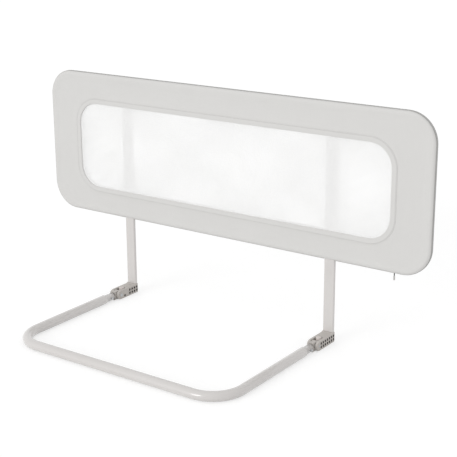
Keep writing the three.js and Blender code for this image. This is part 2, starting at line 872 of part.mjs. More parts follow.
// The binding: a flat band with a slight crown, sewn round the window on the face of the cover.
function windowBinding(place) {
  const lift = -seatGap;
  const crown = lift - bindingThickness;
  const rings = [
    windowRing(-bindingOverhang, place(lift)),
    windowRing(bindingBevel - bindingOverhang, place(crown)),
    windowRing(bindingWidth - bindingOverhang - bindingBevel, place(crown)),
    windowRing(bindingWidth - bindingOverhang, place(lift)),
  ];
  return loft(rings, true);
}

function meshSheet(place) {
  const near = coverThickness + seatGap;
  return loft([windowRing(meshTuck, place(near)), windowRing(meshTuck, place(near + meshThickness))]);
}

// The zip chain, drawn flat at the origin with +Y away from the cover.
function zipChain() {
  const half = panelLength / 2 - zipEndMargin;
  return block(-half, half, seatGap, seatGap + zipThickness, -zipWidth / 2, zipWidth / 2);
}

// The slider: a hood over the chain with a bail on its back for the pull.
function zipSlider() {
  const inner = seatGap + zipThickness + seatGap;
  const half = zipSliderLength / 2;
  const sideInner = zipWidth / 2 + seatGap;
  const sideOuter = zipSliderWidth / 2;
  const hood = block(-half, half, inner, hoodOuter, -sideOuter, sideOuter);
  const wings = [
    block(-half, half, seatGap, hoodOuter, sideInner, sideOuter),
    block(-half, half, seatGap, hoodOuter, -sideOuter, -sideInner),
  ];
  const w = bailWireRadius;
  const posts = [-1, 1].map((side) => {
    const x = side * (bailRadius + w);
    return block(x - w, x + w, inner, sliderOuter, -w, w);
  });
  const reach = bailRadius + 2 * w;
  const bridge = block(-reach, reach, bridgeOut - w, sliderOuter, -w, w);
  return joined(hood, ...wings, ...posts, bridge);
}

// The place of the bail's bridge in the rail's frame: the pull swings about it.
function bailPlace() {
  const y = zipY + bridgeOut * Math.cos(zipRimAngle);
  return new THREE.Vector3(zipSliderX, y, zipZ - bridgeOut * Math.sin(zipRimAngle));
}

// The pull, drawn hanging from the origin: an eye round the bridge, a narrow neck and a rounded tab.
function zipPull() {
  const neckHalf = (pullWidth * pullNeckWidthShare) / 2;
  const half = pullWidth / 2;
  const neckEnd = -pullLength * pullNeckLengthShare;
  const neckStart = -pullEyeBore - pullEyeWall / 2;
  const shape = new THREE.Shape();
  shape.moveTo(-neckHalf, neckStart);
  shape.lineTo(-neckHalf, neckEnd);
  shape.quadraticCurveTo(-half, neckEnd, -half, neckEnd - half);
  shape.lineTo(-half, -pullLength + half);
  shape.quadraticCurveTo(-half, -pullLength, 0, -pullLength);
  shape.quadraticCurveTo(half, -pullLength, half, -pullLength + half);
  shape.lineTo(half, neckEnd - half);
  shape.quadraticCurveTo(half, neckEnd, neckHalf, neckEnd);
  shape.lineTo(neckHalf, neckStart);
  const geometry = new THREE.ExtrudeGeometry(shape, {
    depth: pullThickness,
    bevelEnabled: false,
    curveSegments: curveSteps,
  });
  geometry.rotateX(Math.PI / 2);
  geometry.translate(0, pullThickness / 2, 0);
  const origin = new THREE.Vector3();
  const eye = bar(xAxis, pullEyeRadius, -pullThickness / 2, pullThickness / 2, origin, smallSides);
  const bore = bar(xAxis, pullEyeBore, -pullThickness, pullThickness, origin, smallSides);
  return cut(joined(solidOf(geometry), eye), bore);
}

const front = (depth) => depth;
const back = (depth) => panelThickness - depth;

// One side's pieces, drawn about x = 0 with the outer side towards +X.
function sidePieces(name) {
  const group = new THREE.Group();
  const topScrewY = midY + uprightDepth / 2;
  group.add(
    meshOf("base_socket_" + name, baseSocket(), finishes.hingePlastic()),
    meshOf("socket_rivet_" + name, rivet(), finishes.steel()),
    meshOf("hinge_foot_" + name, hingeFoot(), finishes.hingePlastic()),
    meshOf("hinge_pin_" + name, hingePin(), finishes.steel()),
    meshOf("clamp_screw_" + name, clampScrew(), finishes.darkSteel()),
    meshOf("lock_button_" + name, lockButton(), finishes.hingePlastic()),
    meshOf("button_spring_" + name, buttonSpring(), finishes.steel()),
    meshOf("lower_post_" + name, lowerPost(), finishes.paintedTube()),
    meshOf("post_glide_" + name, postGlide(), finishes.innerPlastic()),
    meshOf("upright_tube_" + name, uprightTube(), finishes.paintedTube()),
    meshOf("top_tee_" + name, topTee(), finishes.innerPlastic()),
    meshOf("bottom_tee_" + name, bottomTee(), finishes.innerPlastic()),
    meshOf("latch_spring_" + name, latchSpring(), finishes.steel()),
    meshOf("top_tee_screw_" + name, teeScrew(0, topScrewY, topScrewZ()), finishes.darkSteel()),
  );
  return group;
}

const rightSide = sidePieces("right");
rightSide.position.x = postX;
const leftSide = sidePieces("left");
leftSide.position.x = -postX;
leftSide.scale.x = -1;

const rightEnd = meshOf("frame_end_right", frameEnd(), finishes.paintedTube());
const leftEnd = meshOf("frame_end_left", frameEnd(), finishes.paintedTube());
leftEnd.scale.x = -1;

const zip = new THREE.Group();
zip.position.set(0, zipY, zipZ);
zip.rotation.x = -zipRimAngle;
const slider = meshOf("zip_slider", zipSlider(), finishes.darkSteel());
slider.position.x = zipSliderX;
zip.add(meshOf("zip_chain", zipChain(), finishes.zip()), slider);

const pull = meshOf("zip_pull", zipPull(), finishes.darkSteel());
pull.position.copy(bailPlace());

const rail3d = new THREE.Group();
rail3d.add(
  meshOf("base_tube", baseTube(), finishes.paintedTube()),
  meshOf("top_rail", rail(topRailZ), finishes.paintedTube()),
  meshOf("bottom_rail", rail(lowRailZ), finishes.paintedTube()),
  rightSide,
  leftSide,
  rightEnd,
  leftEnd,
  meshOf("cover_front", coverHalf(front), finishes.fabric()),
  meshOf("cover_back", coverHalf(back), finishes.fabric()),
  meshOf("window_binding_front", windowBinding(front), finishes.binding()),
  meshOf("window_binding_back", windowBinding(back), finishes.binding()),
  meshOf("mesh_front", meshSheet(front), finishes.mesh()),
  meshOf("mesh_back", meshSheet(back), finishes.mesh()),
  zip,
  pull,
);

// The origin is on the floor in the middle of the whole rail's box.
rail3d.position.y = -(frontReach + backReach) / 2;

export default rail3d;
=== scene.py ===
# %% [markdown]
# # Dressing a folding bed guard rail
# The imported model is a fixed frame. It holds each tube, foot, button and sheet of cloth at its real
# size, and this lesson builds the smooth, finished pieces round it. Nothing in it is moved.

# %% Load the frame
import json
import math

import bmesh
import bpy
import numpy as np
from mathutils import Matrix, Vector


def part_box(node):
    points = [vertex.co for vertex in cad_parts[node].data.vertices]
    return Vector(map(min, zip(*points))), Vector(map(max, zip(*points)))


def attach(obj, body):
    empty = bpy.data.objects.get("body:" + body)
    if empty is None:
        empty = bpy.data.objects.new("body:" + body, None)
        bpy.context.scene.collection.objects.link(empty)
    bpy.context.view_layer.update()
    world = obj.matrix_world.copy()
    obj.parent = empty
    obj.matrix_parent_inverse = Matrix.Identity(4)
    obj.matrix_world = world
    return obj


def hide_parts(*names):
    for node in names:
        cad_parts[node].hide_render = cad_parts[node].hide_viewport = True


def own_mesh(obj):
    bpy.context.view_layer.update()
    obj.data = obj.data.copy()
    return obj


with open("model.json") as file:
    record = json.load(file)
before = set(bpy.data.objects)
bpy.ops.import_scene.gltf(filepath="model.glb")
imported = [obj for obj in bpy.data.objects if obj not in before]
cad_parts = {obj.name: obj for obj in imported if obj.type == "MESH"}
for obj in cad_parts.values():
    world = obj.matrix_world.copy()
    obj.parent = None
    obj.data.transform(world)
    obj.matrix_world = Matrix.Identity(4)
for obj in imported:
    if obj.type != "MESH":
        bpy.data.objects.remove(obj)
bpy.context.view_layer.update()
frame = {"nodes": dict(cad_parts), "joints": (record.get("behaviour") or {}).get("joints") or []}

# %% [markdown]
# ## Places and sizes
# Every place is read from the frame, in millimetres, so a piece sits where its solid sits. Only
# sizes that the solids don't show by their corners, such as a rounding, are written here.

# %% Read the places from the frame
MM = 0.001


def box_mm(node):
    """The lowest and highest corner of a node in millimetres."""
    low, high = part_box(node)
    return np.array(low) / MM, np.array(high) / MM


def joint_place(name):
    """The point that a hinge turns about, in millimetres."""
    return np.array(next(j["pos_m"] for j in frame["joints"] if j["name"] == name)) / MM


front_low, front_high = box_mm("cover_front")
FRONT_Y, BACK_Y = front_low[1], box_mm("cover_back")[1][1]
PANEL_BOTTOM, PANEL_TOP = front_low[2], front_high[2]
PANEL_LENGTH, PANEL_HEIGHT = front_high[0] - front_low[0], PANEL_TOP - PANEL_BOTTOM
PANEL_MID_Z = (PANEL_TOP + PANEL_BOTTOM) / 2
PANEL_RADIUS = 75.0
RIM_RADIUS = (BACK_Y - FRONT_Y) / 2
MID_Y = FRONT_Y + RIM_RADIUS
SEAM_GAP = 0.4
COVER_THICKNESS = 1.2

BINDING_WIDTH, BINDING_OVERHANG = 15.0, 1.5
binding_low, binding_high = box_mm("window_binding_front")
window_margin = BINDING_WIDTH - BINDING_OVERHANG
WINDOW_LENGTH = binding_high[0] - binding_low[0] - 2 * window_margin
WINDOW_HEIGHT = binding_high[2] - binding_low[2] - 2 * window_margin
WINDOW_MID_Z = (binding_high[2] + binding_low[2]) / 2
WINDOW_RADIUS = 62.0

post_low, post_high = box_mm("lower_post_right")
POST_X = (post_low[0] + post_high[0]) / 2
POST_WIDTH, POST_DEPTH = post_high[0] - post_low[0], post_high[1] - post_low[1]
PIVOT = joint_place("fold")
TUBE_RADIUS = PIVOT[2]
print("panel", round(PANEL_LENGTH), "x", round(PANEL_HEIGHT), "mm, window", round(WINDOW_LENGTH), "x",
      round(WINDOW_HEIGHT), "mm, posts at x", round(POST_X), "mm")

# %% [markdown]
# ## The camera
# The photograph looks down at the rail from its right end with a long lens.

# %% Set up the camera
CAMERA_PLACE = (1.669, -2.1015, 1.120)
CAMERA_YAW, CAMERA_PITCH, CAMERA_ROLL = 35.335, 16.965, -0.285
CAMERA_LENS, CAMERA_SENSOR = 89.0, 36.0


def camera_axes(yaw, pitch, roll):
    """Right, up and back of a camera that is turned by yaw, tipped down by pitch and then rolled."""
    y, p, r = (math.radians(angle) for angle in (yaw, pitch, roll))
    right = np.array([math.cos(y), math.sin(y), 0.0])
    back = np.array([math.sin(y) * math.cos(p), -math.cos(y) * math.cos(p), math.sin(p)])
    up = np.cross(back, right)
    return math.cos(r) * right + math.sin(r) * up, math.cos(r) * up - math.sin(r) * right, back


scene = bpy.context.scene
camera_data = bpy.data.cameras.new("photo_camera")
camera_data.lens, camera_data.sensor_width = CAMERA_LENS, CAMERA_SENSOR
camera = bpy.data.objects.new("photo_camera", camera_data)
scene.collection.objects.link(camera)
turned = np.eye(4)
turned[:3, 0], turned[:3, 1], turned[:3, 2] = camera_axes(CAMERA_YAW, CAMERA_PITCH, CAMERA_ROLL)
turned[:3, 3] = CAMERA_PLACE
camera.matrix_world = Matrix(turned.tolist())
scene.camera = camera
scene.view_settings.view_transform = "Standard"
print("camera at", CAMERA_PLACE, "with a", CAMERA_LENS, "mm lens")

# %% [markdown]
# ## Shader sums as Python sums
# A finish is a small graph of nodes. Writing 0.4 + 0.1 * grain is easier to read than three nodes
# and their links, so one class wraps a socket and turns sums and products into Math nodes, and
# one method makes every other node.

# %% The node helpers
class Wire:
    """An output of a shader node. Sums and products of wires and numbers add Math nodes."""

    def __init__(self, finish, socket):
        self.finish, self.socket = finish, socket

    def math(self, operation, first, second=0.0):
        return self.finish.node("ShaderNodeMath", {"operation": operation}, {0: first, 1: second})

    def __add__(self, other):
        return self.math("ADD", self, other)

    def __sub__(self, other):
        return self.math("SUBTRACT", self, other)

    def __rsub__(self, other):
        return self.math("SUBTRACT", other, self)

    def __mul__(self, other):
        return self.math("MULTIPLY", self, other)

    __radd__, __rmul__ = __add__, __mul__

    def sine(self):
        return self.math("SINE", self)

    def absolute(self):
        return self.math("ABSOLUTE", self)


class Finish:
    """The node tree of a new material, or of an owner that is there already, such as the world."""

    def __init__(self, name, owner=None):
        self.owner = owner or bpy.data.materials.new(name)
        self.owner.use_nodes = True
        self.tree = self.owner.node_tree
        self.tree.nodes.clear()

    def node(self, kind, settings=None, values=None, output=0):
        """Adds a node: its settings first, then the values or wires of its sockets."""
        made = self.tree.nodes.new(kind)
        for key, value in (settings or {}).items():
            setattr(made, key, value)
        for key, value in (values or {}).items():
            if isinstance(value, Wire):
                self.tree.links.new(value.socket, made.inputs[key])
            else:
                made.inputs[key].default_value = value
        return Wire(self, made.outputs[output])

    def outputs(self, wire, *keys):
        """Outputs of the node that a wire comes from."""
        return [Wire(self, wire.socket.node.outputs[key]) for key in keys]

    def split(self, vector):
        """The three parts of a vector."""
        return self.outputs(self.node("ShaderNodeSeparateXYZ", None, {0: vector}), 0, 1, 2)

    def place(self):
        """The point on the piece, in metres."""
        return self.node("ShaderNodeTexCoord", output="Object")

    def noise(self, size, detail=2.0, stretch=(1.0, 1.0, 1.0)):
        """Soft noise from 0 to 1 whose blobs are about size metres wide."""
        where = self.node("ShaderNodeMapping", None, {"Vector": self.place(), "Scale": stretch})
        return self.node("ShaderNodeTexNoise", None, {"Vector": where, "Scale": 1 / size, "Detail": detail})

    def step(self, value, low, high, to_low=0.0, to_high=1.0):
        """A smooth step of value from low to high."""
        settings = {"interpolation_type": "SMOOTHSTEP"}
        inputs = {"Value": value, "From Min": low, "From Max": high, "To Min": to_low, "To Max": to_high}
        return self.node("ShaderNodeMapRange", settings, inputs)

    def blend(self, share, first, second):
        """A colour between two colours."""
        values = {0: share, 6: first, 7: second}
        return self.node("ShaderNodeMix", {"data_type": "RGBA"}, values, 2)

    def relief(self, height, depth, under=None):
        """A bump of the given depth in metres where height runs from 0 to 1."""
        values = {"Height": height, "Distance": depth, "Strength": 1.0}
        if under:
            values["Normal"] = under
        return self.node("ShaderNodeBump", None, values)

    def close(self, **values):
        """Ends the graph in a Principled shader with these socket values."""
        named = {key.replace("_", " "): value for key, value in values.items()}
        return self.end(self.node("ShaderNodeBsdfPrincipled", None, named))

    def end(self, shader, kind="ShaderNodeOutputMaterial"):
        """Links a shader to the output and returns the material or world."""
        output = self.tree.nodes.new(kind)
        self.tree.links.new(shader.socket, output.inputs["Surface"])
        return self.owner


def shade(red, green, blue):
    """A colour read off a screen, 0 to 255, as the linear colour that renders like it."""
    parts = [v / 255 for v in (red, green, blue)]
    return (*[v / 12.92 if v <= 0.04045 else ((v + 0.055) / 1.055) ** 2.4 for v in parts], 1.0)


print("node helpers ready")

# %% [markdown]
# ## Paint, plastic and steel
# The tubes are powder coated: a light coat with a very fine orange peel, a few specks and a
# clear gloss over it. The feet are moulded, with a fine grain. The small metal parts are plated.

# %% Finishes of the hard pieces
# Painted shade: the dark colour that deep recesses are painted with, in place of their shadow.
PAINTED_RECESS_SHADE = (58, 51, 48)


def powder_coat():
    """Powder coat: orange peel in the relief, specks in the colour, and a clear glossy skin."""
    f = Finish("powder_coat")
    peel = f.noise(0.0011, 1.0)
    cloud = f.noise(0.09, 3.0)
    speck = f.step(f.noise(0.0004, 0.0), 0.62, 0.72)
    color = f.blend(cloud, shade(203, 199, 196), shade(210, 207, 205))
    color = f.blend(speck * 0.25, color, shade(186, 181, 178))
    return f.close(Base_Color=color, Roughness=0.34 + 0.1 * cloud, Coat_Weight=1.0, Coat_Roughness=0.12,
                   Coat_IOR=1.65, Normal=f.relief(peel, 0.00003))


def moulded(name, low, high, roughness=0.48, grain_size=0.00035, painted_shade=None):
    """Moulded plastic: a fine grain, with slow changes of tone where the melt ran. The optional shade
    mask gives a share, from 0 to 1, of a painted shade that darkens deep recesses."""
    f = Finish(name)
    grain = f.noise(grain_size, 1.0)
    flow = f.noise(0.02, 3.0, (1.0, 0.4, 1.0))
    rub = f.step(f.noise(0.006, 4.0), 0.55, 0.8)
    color = f.blend(flow, shade(*low), shade(*high))
    if painted_shade:
        # painted shade blended into the recesses
        color = f.blend(painted_shade(f), color, shade(*PAINTED_RECESS_SHADE))
    return f.close(Base_Color=color, Roughness=roughness + 0.08 * grain - 0.08 * rub,
                   Specular_IOR_Level=0.45, Normal=f.relief(grain, 0.00004))


def plated(name, tone, roughness):
    """Plated steel: fine lathe lines across the piece and darker spots in the plating."""
    f = Finish(name)
    lines = f.noise(0.0003, 2.0, (0.15, 1.0, 1.0))
    cloud = f.noise(0.004, 3.0)
    dark = tuple(0.72 * v for v in shade(*tone)[:3]) + (1.0,)
    return f.close(Base_Color=f.blend(cloud, dark, shade(*tone)), Metallic=1.0,
                   Roughness=roughness + 0.15 * lines, Normal=f.relief(lines, 0.00002))


FOOT_PLASTIC = ((186, 181, 176), (195, 190, 185))
paint = powder_coat()
foot_plastic = moulded("foot_plastic", *FOOT_PLASTIC)
button_plastic = moulded("button_plastic", (204, 196, 192), (213, 206, 202), 0.42)
inner_plastic = moulded("inner_plastic", (146, 146, 144), (156, 156, 153), 0.55)
pull_rubber = moulded("pull_rubber", (186, 184, 182), (198, 196, 194), 0.6)
slider_paint = moulded("slider_paint", (62, 61, 60), (78, 77, 75), 0.4)
zinc = plated("zinc", (196, 198, 200), 0.28)
dark_plate = plated("dark_plate", (92, 90, 88), 0.34)
hard = (paint, foot_plastic, button_plastic, inner_plastic, pull_rubber, slider_paint, zinc, dark_plate)
print("hard finishes:", [m.name for m in hard])

# %% [markdown]
# ## Cloth
# The cover is a plain woven polyester, so its relief is two crossed waves that follow the cloth
# and not the room: each cloth piece carries a map named cloth, its flat place in metres. The
# mesh is a knit with staggered holes, made by opening the sheet where two cosines peak together.

# %% Finishes of the cloth
CLOTH_MAP = "cloth"


def cloth_place(f):
    """The two flat coordinates of the cloth in metres."""
    return f.split(f.node("ShaderNodeUVMap", {"uv_map": CLOTH_MAP}))[:2]


def woven(name, low, high, pitch, depth, fuzz, shaded_seams=(), seam_shade_half=0.001, seam_shade_color=(188, 187, 185)):
    """Plain weave: crossed waves of one yarn pitch, slubs in the yarn and slow changes of tone.
    Near each shaded seam, within its half width, a painted shade darkens the needle's furrow."""
    f = Finish(name)
    across, along = cloth_place(f)
    waves = 2 * math.pi / pitch
    weave = (across * waves).sine() * (along * waves).sine() * 0.5 + 0.5
    slub = f.noise(0.004, 2.0, (1.0, 1.0, 0.15))
    cloud = f.noise(0.12, 3.0)
    tone = 0.55 * cloud + 0.3 * slub + 0.15 * weave
    color = f.blend(tone, shade(*low), shade(*high))
    for seam in shaded_seams:
        furrow = f.step((along - seam).absolute(), seam_shade_half, 0.4 * seam_shade_half)
        color = f.blend(furrow, color, shade(*seam_shade_color))
    fibres = f.relief(f.noise(0.0006, 2.0), fuzz)
    return f.close(Base_Color=color, Roughness=0.84 + 0.08 * weave, Specular_IOR_Level=0.25,
                   Sheen_Weight=0.12, Sheen_Roughness=0.5, Normal=f.relief(weave, depth, fibres))


# Painted glow: the strength of the white light that the mesh's yarn emits by itself.
PAINTED_GLOW = 0.06
COURSE, WALE = 0.0022, 0.0017


def knitted():
    """Knit mesh: the sheet is open where cos(across) * cos(along) is high, in staggered rows. A faint
    painted glow, which the yarn emits by itself, stands in for the little light that white yarn lets through
    from behind."""
    f = Finish("knit_mesh")
    across, along = cloth_place(f)
    quarter = math.pi / 2
    columns = (across * (2 * math.pi / COURSE) + quarter).sine()
    rows = (along * (2 * math.pi / WALE) + quarter).sine()
    hole = f.step(columns * rows, 0.12, 0.5)
    cloud = f.noise(0.05, 2.0)
    color = f.blend(cloud, shade(243, 243, 242), shade(249, 249, 249))
    return f.close(Base_Color=color, Roughness=0.9, Specular_IOR_Level=0.2, Alpha=1.0 - 0.72 * hole,
                   Sheen_Weight=0.1, Emission_Color=(1.0, 1.0, 1.0, 1.0), Emission_Strength=PAINTED_GLOW,
                   Normal=f.relief(columns * rows, 0.00012))


cover_cloth = woven("cover_cloth", (208, 207, 205), (215, 214, 212), 0.0011, 0.00007, 0.00003)
# painted shade, with a little soil, darkens the binding's furrow along its outer row of stitches
binding_cloth = woven("binding_cloth", (208, 207, 205), (216, 215, 213), 0.0016, 0.0001, 0.00004, (0.0112,))
# painted shade darkens the edge tape's two furrows nearly to black
edge_cloth = woven("edge_cloth", (188, 187, 185), (197, 196, 194), 0.0014, 0.00008, 0.00004,
                   (-0.0030, 0.0030), 0.0009, (66, 65, 63))
thread = woven("thread", (212, 211, 209), (226, 225, 223), 0.0009, 0.00004, 0.00003)
edge_thread_cloth = woven("edge_thread", (112, 111, 109), (132, 131, 129), 0.0009, 0.00004, 0.00003)
zip_tape = woven("zip_tape", (196, 195, 193), (206, 205, 203), 0.0009, 0.00006, 0.00003)
mesh_cloth = knitted()
cloths = (cover_cloth, binding_cloth, edge_cloth, thread, edge_thread_cloth, zip_tape, mesh_cloth)
print("cloth finishes:", [m.name for m in cloths])

# %% [markdown]
# ## Shapes as functions
# A shell is a set of points and a list of faces. Grids of points come from numpy arrays, flat
# ends are single faces, and a shell whose volume comes out negative has its faces turned.

# %% Shell helpers
def grid_faces(rows, columns, loop_rows=False, loop_columns=False):
    """Faces of a grid of points. A looped direction joins its last line to its first."""
    i = np.arange(rows if loop_rows else rows - 1)[:, None]
    j = np.arange(columns if loop_columns else columns - 1)[None, :]
    right, down = (j + 1) % columns, (i + 1) % rows
    corners = np.stack(np.broadcast_arrays(i * columns + j, i * columns + right, down * columns + right,
                                           down * columns + j), -1)
    return corners.reshape(-1, 4).tolist()


def volume_of(points, faces):
    """Signed volume: the sum over fans of triangles of a . (b x c) / 6."""
    fans = np.array([(face[0], face[k], face[k + 1]) for face in faces for k in range(1, len(face) - 1)])
    a, b, c = (points[fans[:, k]] for k in range(3))
    return float(np.einsum("ij,ij->i", a, np.cross(b, c)).sum() / 6)


def closed(points, faces):
    """The shell with its faces outwards."""
    points = np.asarray(points, float).reshape(-1, 3)
    if volume_of(points, faces) < 0:
        faces = [list(reversed(face)) for face in faces]
    return points, faces


def skin(rings, loop_rings=False):
    """Skins closed rings of equal counts, rings x points x 3, with a flat face at each open end."""
    rings = np.asarray(rings, float)
    count, sides = rings.shape[:2]
    faces = grid_faces(count, sides, loop_rings, True)
    if not loop_rings:
        faces += [list(range(sides))[::-1], list(range((count - 1) * sides, count * sides))]
    return closed(rings, faces)


def together(*shells):
    """Several shells in one, each kept whole."""
    points, faces, start = [], [], 0
    for shell_points, shell_faces in shells:
        points.append(shell_points)
        faces += [[start + k for k in face] for face in shell_faces]
        start += len(shell_points)
    return np.concatenate(points), faces


def moved(shell, change):
    """The shell with a function applied to its points, turned outwards again."""
    points, faces = shell
    return closed(change(points), faces)


def mirrored(shell):
    """The shell's twin on the other side of x = 0."""
    return moved(shell, lambda p: p * np.array([-1.0, 1.0, 1.0]))


def piece(name, shell, material, body, slot, sharp=35.0, cloth=None, weighted=True):
    """Makes a shell, in millimetres, a named piece that rides on a body. Edges sharper than sharp
    stay crisp, and cloth gives its flat places. Where a piece has crisp edges and is no cloth, its
    large faces lead the shading, if weighted."""
    points, faces = shell
    mesh = bpy.data.meshes.new(name)
    mesh.from_pydata((points * MM).tolist(), [], faces)
    mesh.polygons.foreach_set("use_smooth", [True] * len(mesh.polygons))
    if sharp:
        mesh.set_sharp_from_angle(angle=math.radians(sharp))
    mesh.materials.append(material)
    if cloth is not None:
        corner = np.zeros(len(mesh.loops), np.int32)
        mesh.loops.foreach_get("vertex_index", corner)
        layer = mesh.uv_layers.new(name=CLOTH_MAP)
        layer.data.foreach_set("uv", (np.asarray(cloth) * MM)[corner].ravel())
    made = bpy.data.objects.new(name, mesh)
    scene.collection.objects.link(made)
    if weighted and sharp and cloth is None:
        even = made.modifiers.new("even_shading", "WEIGHTED_NORMAL")
        even.keep_sharp = True
    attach(made, body)
    return made


print("shell helpers ready")

# %% [markdown]
# ## Outlines with round corners
# Moulded and cut parts are outlines carried along a line, with every long edge broken. The
# outline is given by its corners, and each corner has a radius. The edge is broken by stepping
# the outline inwards while it moves up to the end face.

# %% Outline helpers
def rounded_outline(corners, radii, turn):
    """Points and outward normals of a counter-clockwise outline. Each corner becomes an arc that
    touches both edges, so it begins radius * tan(turned angle / 2) before the corner."""
    corners = np.asarray(corners, float)
    points, normals = [], []
    for k, corner in enumerate(corners):
        before = corner - corners[k - 1]
        after = corners[(k + 1) % len(corners)] - corner
        before, after = before / np.hypot(*before), after / np.hypot(*after)
        turned_by = math.atan2(before[0] * after[1] - before[1] * after[0], before @ after)
        radius, sense = radii[k], math.copysign(1.0, turned_by)
        start = corner - before * radius * math.tan(abs(turned_by) / 2)
        centre = start + np.array([-before[1], before[0]]) * radius * sense
        steps = max(2, math.ceil(math.degrees(abs(turned_by)) / turn))
        angle = np.linspace(0, turned_by, steps + 1)
        out = np.array([before[1], -before[0]])
        normal = np.stack([out[0] * np.cos(angle) - out[1] * np.sin(angle),
                           out[0] * np.sin(angle) + out[1] * np.cos(angle)], -1)
        points.append(centre + normal * radius * sense)
        normals.append(normal)
    return np.concatenate(points), np.concatenate(normals)


def rectangle(width, height, radius, x, y, turn=8.0):
    """A rounded rectangle about a centre."""
    w, h = width / 2, height / 2
    corners = [(x - w, y - h), (x + w, y - h), (x + w, y + h), (x - w, y + h)]
    return rounded_outline(corners, [radius] * 4, turn)


def along_axis(axis, first, second, along):
    """Places from the two coordinates across an axis, x, y or z, and the one along it."""
    parts = [first, second]
    parts.insert("xyz".index(axis), along)
    return np.stack(np.broadcast_arrays(*parts), -1)


def outline_rings(outline, along, grown, axis):
    """Rings of an outline, each at its place along an axis and grown outwards by its amount."""
    points, normals = outline
    flat = points + normals * np.reshape(grown, (-1, 1, 1))
    return along_axis(axis, flat[..., 0], flat[..., 1], np.reshape(along, (-1, 1)))


def prism(outline, low, high, edge, axis="x", edge_steps=3):
    """An outline carried along an axis. Both ends are broken by a quarter round: at angle a the ring
    is stepped in by edge * (1 - sin a) and lies edge * (1 - cos a) from the end face."""
    angle = np.linspace(0, math.pi / 2, edge_steps + 1)
    inset, rise = edge * (1 - np.sin(angle)), edge * (1 - np.cos(angle))
    along = np.concatenate([low + rise, high - rise[::-1]])
    return skin(outline_rings(outline, along, -np.concatenate([inset, inset[::-1]]), axis))


def full_turn(sides):
    """The angles of a full turn in equal steps."""
    return np.arange(sides) / sides * 2 * math.pi


def turned_part(profile, centre, axis, sides):
    """A turned part: pairs of place along the axis and radius, carried round the axis."""
    along, radius = np.array(profile, float).T[..., None]
    angle = full_turn(sides)
    first, second = np.delete(centre, "xyz".index(axis))
    return skin(along_axis(axis, first + radius * np.cos(angle), second + radius * np.sin(angle), along))


def dome(face, radius, rise, direction, steps=6):
    """The profile of a domed head: from its rim at the face to a small flat at the crown."""
    angle = np.linspace(0, 1.45, steps)
    rim = rise * 0.35
    start = [(face, radius * 0.96), (face + direction * rim * 0.4, radius)]
    arc = [(face + direction * (rim + (rise - rim) * math.sin(a)), radius * math.cos(a)) for a in angle]
    return start + arc


def carved(shell, cutters, operation="DIFFERENCE"):
    """Cuts closed shells out of a closed shell, or joins them to it, with the exact Boolean."""
    made = []
    for points, faces in (shell, *cutters):
        mesh = bpy.data.meshes.new("blank")
        mesh.from_pydata(points.tolist(), [], faces)
        made.append(bpy.data.objects.new("blank", mesh))
        scene.collection.objects.link(made[-1])
    for tool in made[1:]:
        cut = made[0].modifiers.new("cut", "BOOLEAN")
        cut.operation, cut.solver, cut.object = operation, "EXACT", tool
    bpy.context.view_layer.update()
    result = made[0].evaluated_get(bpy.context.evaluated_depsgraph_get()).to_mesh()
    points = np.zeros(len(result.vertices) * 3)
    result.vertices.foreach_get("co", points)
    faces = [list(face.vertices) for face in result.polygons]
    for blank in made:
        mesh = blank.data
        bpy.data.objects.remove(blank)
        bpy.data.meshes.remove(mesh)
    return closed(points, faces)


print("outline helpers ready")

# %% [markdown]
# ## The base tube
# One steel tube is bent into a wide U that lies on the floor. Its centre line is straight arms,
# two quarter circles and a front bar, and a circle is carried along it. Each end is necked down
# so that it plugs into the sleeve of its hinge.

# %% Bend the base tube
BEND_RADIUS = 80.0
NECK_RADIUS, NECK_LENGTH, NECK_TAPER = 10.0, 28.0, 4.0
TUBE_WALL = 1.5
TUBE_SIDES = 48
tube_low, tube_high = box_mm("base_tube")
tube_front = tube_low[1] + TUBE_RADIUS


def tube_stations():
    """Centre line, direction and radius along the U, from the left end to the right end."""
    angle = np.linspace(0, math.pi / 2, 25)
    bend_x, bend_y = POST_X - BEND_RADIUS, tube_front + BEND_RADIUS
    ends = [(0.0, NECK_RADIUS - 0.6), (0.8, NECK_RADIUS), (NECK_LENGTH, NECK_RADIUS),
            (NECK_LENGTH + NECK_TAPER * 0.5, (NECK_RADIUS + TUBE_RADIUS) / 2),
            (NECK_LENGTH + NECK_TAPER, TUBE_RADIUS - 0.15), (NECK_LENGTH + NECK_TAPER + 1.2, TUBE_RADIUS)]
    arm = np.array([(tube_high[1] - back, radius) for back, radius in ends])
    arm = np.concatenate([arm, [[y, TUBE_RADIUS] for y in np.linspace(arm[-1, 0], bend_y, 12)[1:-1]]])
    left = [((-POST_X, y), (0.0, -1.0), radius) for y, radius in arm]
    left += [((-bend_x - BEND_RADIUS * math.cos(a), bend_y - BEND_RADIUS * math.sin(a)),
              (math.sin(a), -math.cos(a)), TUBE_RADIUS) for a in angle]
    bar = [((x, tube_front), (1.0, 0.0), TUBE_RADIUS) for x in np.linspace(-bend_x, 0, 16)[1:]]
    right = [((-x, y), (dx, -dy), radius) for (x, y), (dx, dy), radius in reversed(left + bar[:-1])]
    return left + bar + right


def base_tube():
    """Each ring lies across the centre line: side * r cos(a) + up * r sin(a). The wall's inner
    face runs back along the same line, so the tube is hollow and open at its ends."""
    stations = tube_stations()
    angle, rings = full_turn(TUBE_SIDES), []
    for wall, line in ((0.0, stations), (TUBE_WALL, stations[::-1])):
        for (x, y), (dx, dy), radius in line:
            across, up = (radius - wall) * np.cos(angle), (radius - wall) * np.sin(angle)
            rings.append(np.stack([x - dy * across, y + dx * across, TUBE_RADIUS + up], -1))
    return skin(rings, loop_rings=True)


tube_piece = piece("base_tube_painted", base_tube(), paint, "base", "painted_tube", sharp=0)
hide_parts("base_tube")
print("base tube:", len(tube_piece.data.polygons), "faces")

# %% [markdown]
# ## Sleeves and knuckles
# A moulded sleeve takes each neck of the tube. It is a turned shape with a raised rim, joined to
# a flat knuckle that turns between the cheeks of the foot. The floor takes a little off its
# underside, and a domed rivet holds the tube in it.

